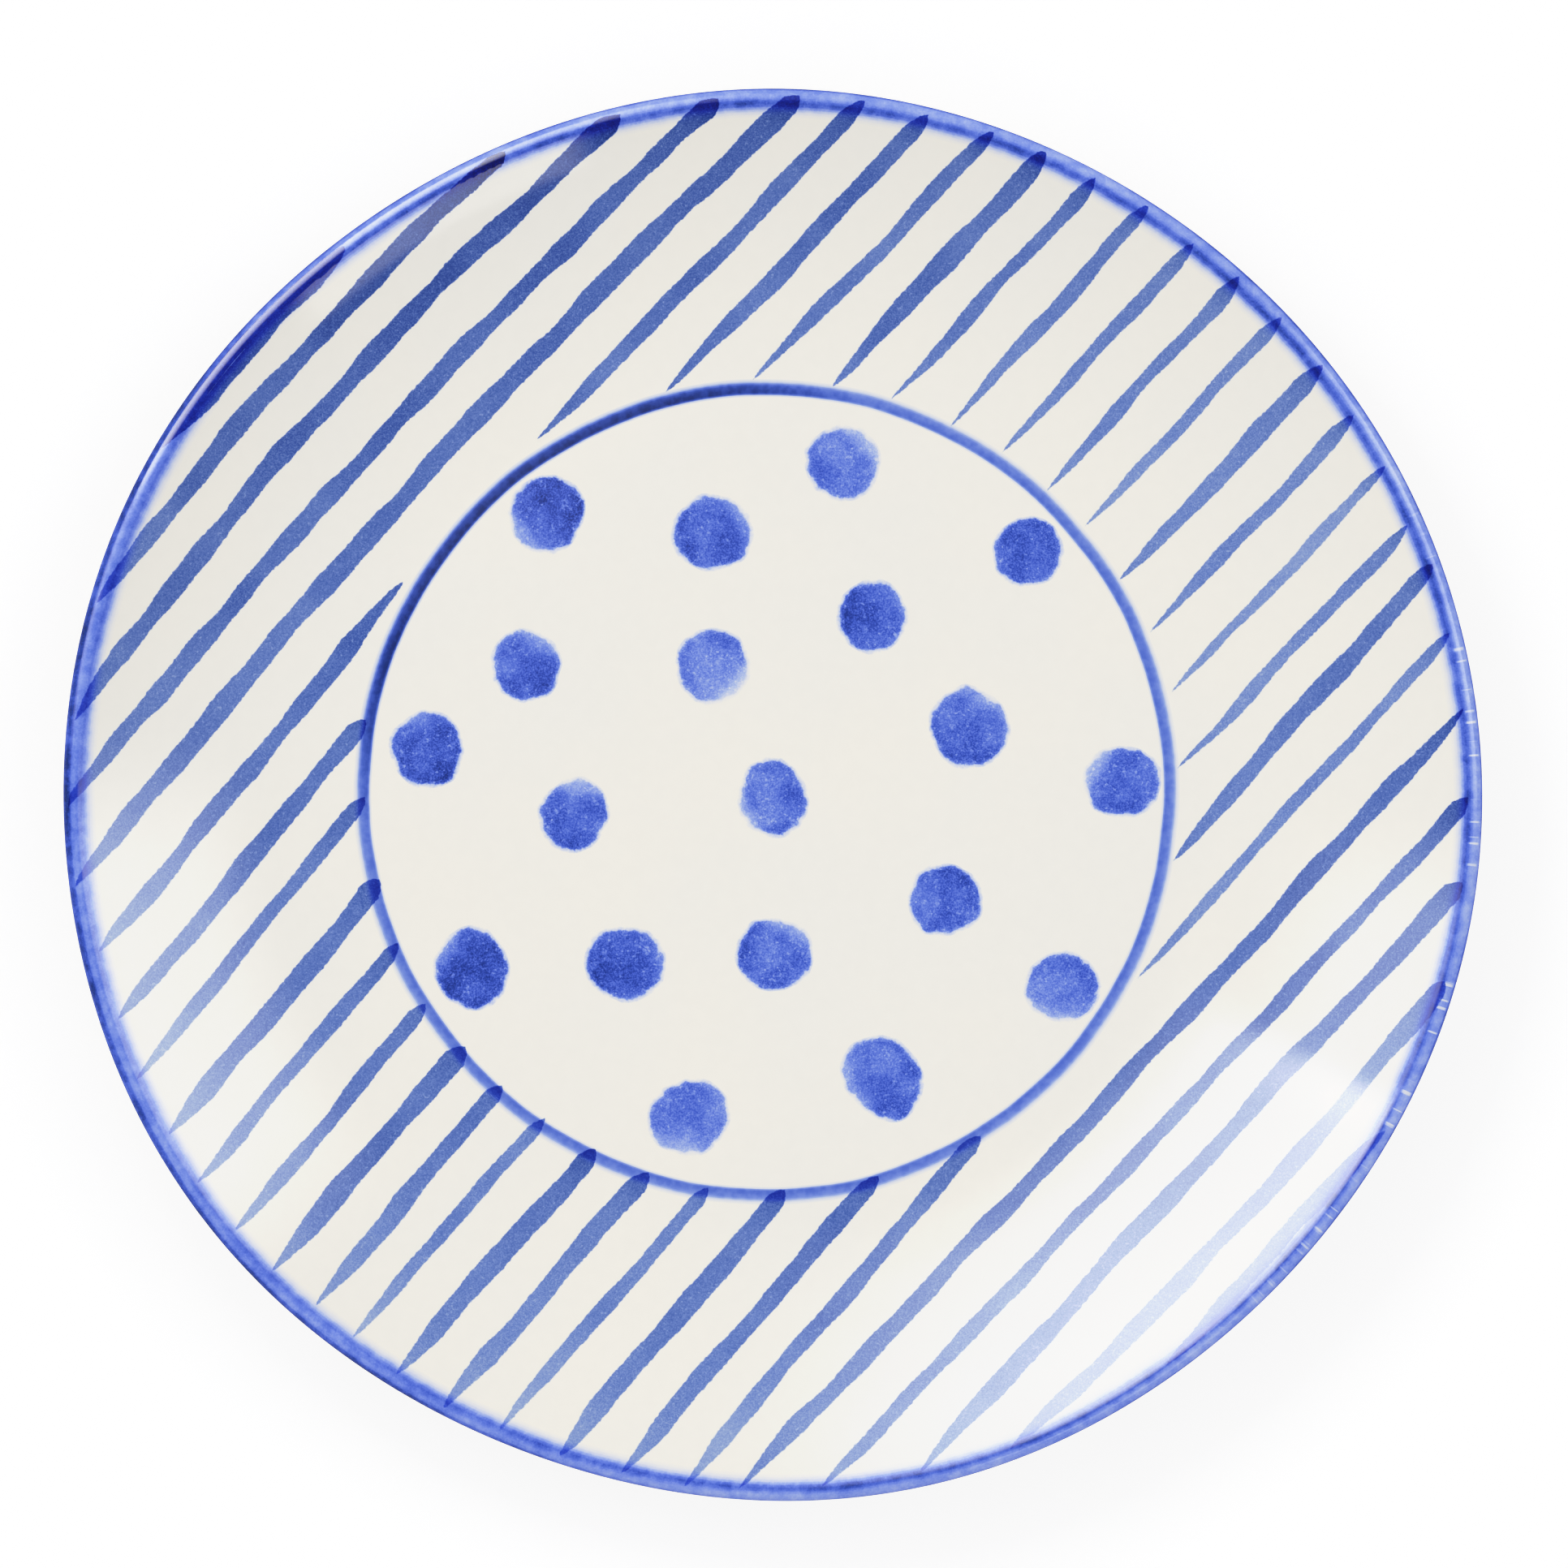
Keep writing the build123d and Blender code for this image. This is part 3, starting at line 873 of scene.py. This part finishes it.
unevenness = sum_of(pigment_grain, coarse, sand, patches, flecks)
grained = maths(pigment_grain, "MULTIPLY_ADD", unevenness, given["Strength"], 1.0)
pigment_grain.links.new(maths(pigment_grain, "MAXIMUM", grained, 0.05), result["Factor"])
print("pigment grain:", len(pigment_grain.nodes), "nodes")

# %% [markdown]
# The band's and the ring's pigment
#
# These two are groups because a stroke that crosses the band or the ring has to show them through
# itself. Both give an amount of pigment from a place. A stripe with two soft edges would be
# simpler, but a brushed line isn't even across: pigment gathers where the glaze runs thick. So both
# follow a profile of listed stops. The band's has a thin crown where the glaze ran off, a darker
# gathering on its outer or its inner side, and a soft bleed into the cream. The dark on the outer
# side of the lip, strongest on the left, is partly pigment and partly painted shade.

# %% Helpers for painted lines
def facing(tree, heading, degrees):
    """How nearly a heading points along a compass direction, from -1 to 1."""
    way = (math.cos(math.radians(degrees)), math.sin(math.radians(degrees)), 0.0)
    return vector_maths(tree, "DOT_PRODUCT", heading, way, output="Value")


def profile(tree, value, stops, low, high, most):
    """An amount read from given stops (place, amount), for places between low and high."""
    position = maths(tree, "MULTIPLY_ADD", value, 1 / (high - low), -low / (high - low))
    made = add_node(tree, "ShaderNodeValToRGB", {"Fac": position})
    made.color_ramp.interpolation = "EASE"
    while len(made.color_ramp.elements) < len(stops):
        made.color_ramp.elements.new(0.5)
    for stop, (place, load) in zip(made.color_ramp.elements, stops):
        stop.position = (place - low) / (high - low)
        stop.color = (load / most, load / most, load / most, 1)
    return maths(tree, "MULTIPLY", made.outputs["Color"], most)


# %% Profiles across the lip band
# Each stop is (mm inward from the outside of the lip, amount of pigment). In both profiles the
# stops near the outside of the lip, about -0.6 to 0.65 mm, are partly pigment and partly painted
# shade of the lip's outer side.
PALE_CROWN = (
    (-2.4, 0.0), (-1.9, 0.9), (-0.6, 1.8), (0.05, 2.6), (0.5, 1.45), (1.15, 1.3), (1.65, 1.4), (2.1, 1.85),
    (2.5, 2.65), (2.9, 3.05), (3.35, 2.5), (3.8, 1.3), (4.25, 0.58), (4.7, 0.22), (5.2, 0.06), (5.7, 0.0),
)
DARK_EDGE = (
    (-2.4, 0.0), (-1.9, 0.9), (-0.6, 2.4), (0.15, 3.6), (0.65, 3.2), (1.15, 1.9), (1.6, 1.7), (2.4, 2.0),
    (2.9, 2.25), (3.35, 1.75), (3.8, 1.05), (4.25, 0.52), (4.7, 0.22), (5.2, 0.06), (5.7, 0.0),
)
BAND_SPAN = (-3.0, 6.0)  # mm, a little past the stops on both sides
MOST_PIGMENT = 4.0
print("most pigment on the band:", max(load for _, load in PALE_CROWN + DARK_EDGE))

# %% Group: lip band
band_pigment, given, result = new_group(
    "Lip band pigment",
    [("Place", "NodeSocketVector"), ("From lip", "NodeSocketFloat")],
    [("Amount", "NodeSocketFloat")],
)
flat = vector_maths(band_pigment, "MULTIPLY", given["Place"], (1.0, 1.0, 0.0))
compass = vector_maths(band_pigment, "NORMALIZE", flat)
around = scaled(band_pigment, compass, PLATE_RADIUS)
drift = ease(band_pigment, noise(band_pigment, around, 26.0, 2.0), 0.25, 0.75, -0.22, 0.12)
wide = ease(band_pigment, facing(band_pigment, compass, 178), 0.75, 0.95, 0.0, -0.45)
narrow = ease(band_pigment, facing(band_pigment, compass, -92), 0.75, 0.95, 0.0, 0.35)
shifted = sum_of(band_pigment, given["From lip"], drift, wide, narrow)
pale = profile(band_pigment, shifted, PALE_CROWN, *BAND_SPAN, MOST_PIGMENT)
dark = profile(band_pigment, shifted, DARK_EDGE, *BAND_SPAN, MOST_PIGMENT)
# The left takes the profile with the darker outer edge, which is partly painted shade of the lip's outer
# side
left = ease(band_pigment, facing(band_pigment, compass, -165), 0.2, 0.85)
across = add_node(band_pigment, "ShaderNodeMix", {"Factor": left, "A": pale, "B": dark}).outputs["Result"]
brushed = ease(band_pigment, noise(band_pigment, given["Place"], 330.0, 3.0, 0.65), 0.3, 0.7, 0.80, 1.22)
slow = ease(band_pigment, noise(band_pigment, around, 55.0, 2.0), 0.3, 0.7, 0.88, 1.15)

# Fine breaks in the paint over the crown, on the right, where it ran thinnest
right = ease(band_pigment, facing(band_pigment, compass, -12), 0.72, 0.95)
from_crown = maths(band_pigment, "ABSOLUTE", maths(band_pigment, "ADD", given["From lip"], -1.5))
on_crown = ease(band_pigment, from_crown, 0.6, 1.3, 1.0, 0.0)
hairs = ease(band_pigment, noise(band_pigment, around, 900.0, 1.0), 0.60, 0.68, 0.0, 0.75)
unbroken = maths(band_pigment, "SUBTRACT", 1.0, product_of(band_pigment, hairs, right, on_crown))
band_pigment.links.new(product_of(band_pigment, across, brushed, slow, unbroken), result["Amount"])
print("lip band:", len(band_pigment.nodes), "nodes")

# %% Group: centre ring
# Each stop is (mm outward from the middle of the ring, share of its pigment).
RING_STOPS = (
    (-2.1, 0.0), (-1.75, 0.12), (-1.45, 0.7), (-1.2, 1.0), (-0.8, 0.98), (-0.3, 0.88), (0.1, 0.78),
    (0.45, 0.52), (0.75, 0.22), (1.05, 0.08), (1.5, 0.0),
)
ring_pigment, given, result = new_group(
    "Ring pigment", [("Place", "NodeSocketVector")], [("Amount", "NodeSocketFloat")]
)
flat = vector_maths(ring_pigment, "MULTIPLY", given["Place"], (1.0, 1.0, 0.0))
centred = vector_maths(ring_pigment, "SUBTRACT", flat, (PATTERN_X, PATTERN_Y, 0.0))
out = vector_maths(ring_pigment, "LENGTH", centred, output="Value")
heading = vector_maths(ring_pigment, "NORMALIZE", centred)
around = scaled(ring_pigment, heading, RING_RADIUS)
wobble = ease(ring_pigment, noise(ring_pigment, around, 40.0, 2.0), 0.25, 0.75, -0.44, -0.04)
drift = maths(ring_pigment, "MULTIPLY_ADD", facing(ring_pigment, heading, -120), -0.2, wobble)
off = sum_of(ring_pigment, maths(ring_pigment, "MULTIPLY_ADD", out, 1 / MM, -RING_RADIUS / MM), drift)
across = profile(ring_pigment, off, RING_STOPS, -2.5, 2.5, 1.0)
heavy = ease(ring_pigment, facing(ring_pigment, heading, 130), 0.55, 0.92, 2.35, 4.8)
bristles = ease(ring_pigment, noise(ring_pigment, given["Place"], 700.0, 2.0), 0.3, 0.7, 0.90, 1.10)
ring_pigment.links.new(product_of(ring_pigment, across, bristles, heavy), result["Amount"])
print("centre ring:", len(ring_pigment.nodes), "nodes")

# %% [markdown]
# Materials
#
# All the glazed pieces share one gloss, because one glaze lies over everything. Only the colour
# under it changes. Roughness is low, with a slow drift, so the studio lights stay crisp but not
# perfect. The cobalt itself differs from mark to mark: it is warm and bright where it lies thick and
# wet, on the band and the dots, and greyer where a half dry brush dragged it, on the strokes.

# %% The glossy shader all glazed pieces share
GLOSS = 0.07
GLAZE_IOR = 1.62


def glossy_material(name, make_color):
    """A material whose colour comes from make_color(tree, place), under the plate's glossy glaze."""
    material = bpy.data.materials.new(name)
    material.use_nodes = True
    tree = material.node_tree
    shader = tree.nodes["Principled BSDF"]
    place = tree.nodes.new("ShaderNodeTexCoord").outputs["Object"]
    tree.links.new(make_color(tree, place), shader.inputs["Base Color"])
    shader.inputs["IOR"].default_value = GLAZE_IOR
    breath = ease(tree, noise(tree, place, 35.0, 3.0), 0.3, 0.7, GLOSS - 0.015, GLOSS + 0.02)
    tree.links.new(breath, shader.inputs["Roughness"])
    return material


def note(tree, name):
    """A value that the mesh's points carry."""
    return add_node(tree, "ShaderNodeAttribute", attribute_name=name).outputs["Fac"]


# %% Cream, and cobalt over it
BAND_TONE = {"Blue_taken": -0.18, "Greyness": 0.105}
RING_TONE = {"Blue_taken": -0.05, "Greyness": 0.075}
DOT_TONE = {"Blue_taken": -0.11, "Greyness": 0.082}
STROKE_TONE = {"Blue_taken": 0.165, "Greyness": 0.032}


def cream_color(tree, place):
    """The bare glaze."""
    return use_group(tree, cream_ground, Place=place)["Color"]


def wash(tree, under, amount, tone):
    """A colour seen through an amount of cobalt."""
    return use_group(tree, cobalt_wash, Under=under, Amount=amount, **tone)["Color"]


def grain(tree, place, strength, scale=1.0):
    """The sandy factor on an amount of pigment."""
    return use_group(tree, pigment_grain, Place=place, Strength=strength, Scale=scale)["Factor"]


# %% The band's and the ring's colour
def through_band(tree, place, under):
    """A colour seen through the lip band."""
    amount = use_group(tree, band_pigment, Place=place, From_lip=note(tree, "from_lip"))["Amount"]
    return wash(tree, under, product_of(tree, amount, grain(tree, place, 0.12)), BAND_TONE)


def through_ring(tree, place, under):
    """A colour seen through the ring round the well."""
    return wash(tree, under, use_group(tree, ring_pigment, Place=place)["Amount"], RING_TONE)


def band_color(tree, place):
    """The band over cream."""
    return through_band(tree, place, cream_color(tree, place))


def ring_color(tree, place):
    """The ring over cream."""
    return through_ring(tree, place, cream_color(tree, place))


# %% The dots' colour
DOT_LOAD = 3.15


def dot_color(tree, place):
    """A dab over cream: a pale halo, a frayed edge, and a body blotched and scraped by the sponge."""
    bulges = ease(tree, noise(tree, place, 260.0, 1.0), 0.3, 0.7, -0.30, 0.30)
    fray = ease(tree, noise(tree, place, 1000.0, 2.0, 0.7), 0.25, 0.75, -0.14, 0.14)
    frayed = sum_of(tree, note(tree, "inside"), bulges, fray)
    halo = ease(tree, frayed, -0.60, 0.10, 0.0, 0.26)
    solid = ease(tree, frayed, 0.0, 0.45, 0.0, 0.74)
    rim = ease(tree, frayed, 0.15, 1.1, 0.72, 1.0)
    blotches = ease(tree, noise(tree, place, 175.0, 2.0), 0.34, 0.64, 0.80, 1.10)
    scrapes = ease(tree, noise(tree, place, 520.0, 5.0, 0.8), 0.54, 0.68, 1.0, 0.62)
    amount = product_of(tree, note(tree, "pigment"), blotches, scrapes, grain(tree, place, 0.34), rim,
                        sum_of(tree, halo, solid), DOT_LOAD)
    return wash(tree, cream_color(tree, place), amount, DOT_TONE)


# %% The strokes' colour
STROKE_LOAD = 2.3


def stroke_color(tree, place):
    """A stroke over cream, and over the ring and the band where it crosses them."""
    under = through_ring(tree, place, cream_color(tree, place))
    under = through_band(tree, place, under)
    fray = ease(tree, noise(tree, place, 1000.0, 3.0, 0.65), 0.25, 0.75, -0.13, 0.13)
    edge = ease(tree, sum_of(tree, note(tree, "inside"), fray), -0.10, 0.16)
    amount = product_of(tree, note(tree, "pigment"), grain(tree, place, 0.24, 1.1), edge, STROKE_LOAD)
    return wash(tree, under, amount, STROKE_TONE)


# %% Give each piece its finish
finishes = {
    "cream": glossy_material("cream_glaze", cream_color),
    "band": glossy_material("cobalt_band", band_color),
    "ring": glossy_material("cobalt_ring", ring_color),
    "dots": glossy_material("cobalt_dots", dot_color),
    "strokes": glossy_material("cobalt_strokes", stroke_color),
}
for piece in (glaze_coat, recess_glaze):
    piece.data.materials.append(finishes["cream"])
lip_band.data.materials.append(finishes["band"])
centre_ring.data.materials.append(finishes["ring"])
for piece in dots:
    piece.data.materials.append(finishes["dots"])
for piece in strokes:
    piece.data.materials.append(finishes["strokes"])
print("finishes:", ", ".join(finishes))

# %% [markdown]
# Bare clay
#
# The foot is biscuit: matt, sandy and warmer than the glaze, clouded, with a few iron specks. The
# grains could be real bumps in the mesh, but they are far too small to be worth the polygons, so a
# bump node gives the sand under the finger.

# %% The clay material
CLAY_DARK = (0.56, 0.44, 0.31, 1)
CLAY_LIGHT = (0.66, 0.55, 0.41, 1)
IRON_SPECK = (0.16, 0.09, 0.05, 1)
SAND_HEIGHT = 0.1 * MM
clay_material = bpy.data.materials.new("biscuit_clay")
clay_material.use_nodes = True
tree = clay_material.node_tree
shader = tree.nodes["Principled BSDF"]
place = tree.nodes.new("ShaderNodeTexCoord").outputs["Object"]
body = add_node(tree, "ShaderNodeMix", {
    "Factor": ease(tree, noise(tree, place, 90.0, 4.0, 0.6), 0.3, 0.7), "A": CLAY_DARK, "B": CLAY_LIGHT,
}, data_type="RGBA")
specks = ease(tree, noise(tree, place, 1400.0, 1.0), 0.68, 0.76, 0.0, 0.8)
specked = add_node(tree, "ShaderNodeMix", {
    "Factor": specks, "A": body.outputs["Result"], "B": IRON_SPECK,
}, data_type="RGBA")
tree.links.new(specked.outputs["Result"], shader.inputs["Base Color"])
tree.links.new(ease(tree, noise(tree, place, 500.0, 2.0), 0.3, 0.7, 0.78, 0.95), shader.inputs["Roughness"])
sandy = add_node(tree, "ShaderNodeBump", {
    "Strength": 0.4, "Distance": SAND_HEIGHT, "Height": noise(tree, place, 2200.0, 3.0, 0.7),
})
tree.links.new(sandy.outputs["Normal"], shader.inputs["Normal"])
clay.data.materials.append(clay_material)
print("bare clay:", len(tree.nodes), "nodes")

# %% [markdown]
# The studio
#
# The plate stands on a white sweep that is lit from below as well, so only the nearest shadow
# shows. The glaze on the lip's outer edge would mirror so bright a floor, so to reflections the
# floor is dark, as if black cards lay close round the plate.
#
# Lamps could be set round it, but a glaze shows the shape of each lamp, and a lamp is hard to
# shape. So the room itself is painted on the world by direction: pale all over, a wide soft window
# on the upper left, whose sheen lies on the opposite slope of the rim, a weaker one on the right,
# and a small card that leaves a faint veil at upper left.

# %% Floor
FLOOR_HALF = 3.0
FLOOR_GLOW = 0.66  # light from below, as the camera sees it
FLOOR_WHITE = 0.96
FLOOR_IN_GLAZE = 0.16  # the floor's white, as reflections see it
floor_mesh = bpy.data.meshes.new("studio_floor")
corners = [(-FLOOR_HALF, -FLOOR_HALF, 0), (FLOOR_HALF, -FLOOR_HALF, 0),
           (FLOOR_HALF, FLOOR_HALF, 0), (-FLOOR_HALF, FLOOR_HALF, 0)]
floor_mesh.from_pydata(corners, [], [(0, 1, 2, 3)])
floor = bpy.data.objects.new("studio_floor", floor_mesh)
bpy.context.scene.collection.objects.link(floor)
floor_material = bpy.data.materials.new("studio_white")
floor_material.use_nodes = True
tree = floor_material.node_tree
paper = tree.nodes["Principled BSDF"]
paper.inputs["Roughness"].default_value = 0.9
paper.inputs["Specular IOR Level"].default_value = 0.1
paper.inputs["Emission Color"].default_value = (1.0, 0.998, 0.992, 1)
path = tree.nodes.new("ShaderNodeLightPath").outputs
glow = maths(tree, "MULTIPLY", path["Is Camera Ray"], FLOOR_GLOW)
white = maths(tree, "MULTIPLY_ADD", path["Is Glossy Ray"], FLOOR_IN_GLAZE - FLOOR_WHITE, FLOOR_WHITE)
tree.links.new(glow, paper.inputs["Emission Strength"])
tree.links.new(white, paper.inputs["Base Color"])
floor_mesh.materials.append(floor_material)
print("floor", 2 * FLOOR_HALF, "m wide")

# %% Directions in the room
DEGREES = 180 / math.pi
world = bpy.data.worlds.new("pale_room")
world.use_nodes = True
room = world.node_tree
heading = room.nodes.new("ShaderNodeTexCoord").outputs["Generated"]
axes = add_node(room, "ShaderNodeSeparateXYZ", {"Vector": heading}).outputs
mirrored = room.nodes.new("ShaderNodeLightPath").outputs["Is Glossy Ray"]
upward = maths(room, "MULTIPLY", axes["Z"], 0.99999)  # just under 1, where the arc cosine ends
from_zenith = maths(room, "MULTIPLY", maths(room, "ARCCOSINE", upward), DEGREES)


def window(compass, left, right, soft_left, soft_right, zenith_stops):
    """Light of a soft window round a compass direction, in degrees, with its glow at each zenith angle."""
    east = math.cos(math.radians(compass))
    north = math.sin(math.radians(compass))
    forward = sum_of(room, product_of(room, axes["X"], east), product_of(room, axes["Y"], north))
    aside = sum_of(room, product_of(room, axes["Y"], east), product_of(room, axes["X"], -north))
    off = product_of(room, maths(room, "ARCTAN2", aside, forward), DEGREES)
    right_side = ease(room, off, -right - soft_right, -right)
    left_side = ease(room, off, left, left + soft_left, 1.0, 0.0)
    steps = [ease(room, from_zenith, low, high, 0.0, bright - dim)
             for (low, dim), (high, bright) in zip(zenith_stops, zenith_stops[1:])]
    return product_of(room, right_side, left_side, sum_of(room, *steps))


print("a level direction is", round(math.acos(0) * DEGREES), "degrees from the zenith")

# %% The windows and the room
# Each stop is (degrees from the zenith, brightness).
KEY_WINDOW = ((0, 0), (9, 1.8), (17, 4.2), (30, 6.6), (45, 9.5), (58, 8.5), (70, 0))
KEY_SPILL = ((10, 0), (40, 2.4), (58, 2.4), (68, 0))
FILL_WINDOW = ((14, 0), (35, 2.6), (50, 3.4), (58, 3.2), (66, 0))
VEIL_CARD = ((46, 0), (48, 1.8), (55, 1.8), (57, 0))
WINDOWS_SHOWN = (0.30, 1.0)  # how much the windows count for in soft light, and in reflections
WALLS_SHOWN = (0.90, 0.14)  # the walls' brightness in the same two
windows = sum_of(
    room,
    window(132, 21, 5, 2, 43, KEY_WINDOW),
    window(158, 8, 6, 14, 4, KEY_SPILL),
    window(20, 12, 12, 16, 16, FILL_WINDOW),
    window(-60, 12, 12, 3, 3, VEIL_CARD),
)


def by_kind(soft, in_reflections):
    """One value for soft light and another for reflections."""
    return add_node(room, "ShaderNodeMapRange", {
        "Value": mirrored, "To Min": soft, "To Max": in_reflections,
    }).outputs["Result"]


light = sum_of(room, by_kind(*WALLS_SHOWN), product_of(room, windows, by_kind(*WINDOWS_SHOWN)))
room.links.new(light, room.nodes["Background"].inputs["Strength"])
room.nodes["Background"].inputs["Color"].default_value = (1.0, 1.0, 1.0, 1)
bpy.context.scene.world = world
print("room:", len(room.nodes), "nodes")

# %% [markdown]
# The camera
#
# The plate is seen from straight above, from two metres away through a long lens, so the rim hardly
# leans. An orthographic camera would show no lean at all, but no real lens does that. The camera
# stands a couple of millimetres off the plate's axis, to frame it with a touch more room on one side.

# %% Camera
CAMERA_HEIGHT = 2.0
LIP_HEIGHT = 19 * MM
FRAME_WIDTH = 299.2 * MM  # what the frame takes in at the height of the lip
CAMERA_X = 2.33 * MM
CAMERA_Y = 2.17 * MM
camera_data = bpy.data.cameras.new("overhead")
camera_data.lens = camera_data.sensor_width * (CAMERA_HEIGHT - LIP_HEIGHT) / FRAME_WIDTH
camera = bpy.data.objects.new("overhead", camera_data)
camera.location = (CAMERA_X, CAMERA_Y, CAMERA_HEIGHT)
bpy.context.scene.collection.objects.link(camera)
bpy.context.scene.camera = camera
print(f"lens {camera_data.lens:.1f} mm")

# %% [markdown]
# A soft shoulder, as film has
#
# The sheen on the rim is brighter than white, and cut off plainly it would burn a hole in the
# cream. Weaker lights would make the whole plate dull. So the view's own curve is bent: up to the
# cream's brightness it is nearly straight, and above that it climbs slowly to white, as film does.

# %% Bend the view's curve
WHITE = 2.0  # the light that is shown as full white
SHOULDER = ((0.0, 0.0), (0.6, 0.6), (0.78, 0.72), (0.9, 0.79), (1.05, 0.878), (1.2, 0.91), (1.45, 0.932),
            (1.62, 0.95), (1.78, 1.0), (WHITE, 1.0))
view = bpy.context.scene.view_settings
view.view_transform = "Standard"
view.use_curve_mapping = True
shoulder = view.curve_mapping
shoulder.white_level = (WHITE, WHITE, WHITE)
curve = shoulder.curves[3]
for bright, shown_as in SHOULDER[1:-1]:
    curve.points.new(bright / WHITE, shown_as)
for point in curve.points:
    point.handle_type = "VECTOR"
shoulder.update()
print("shoulder points:", len(curve.points))
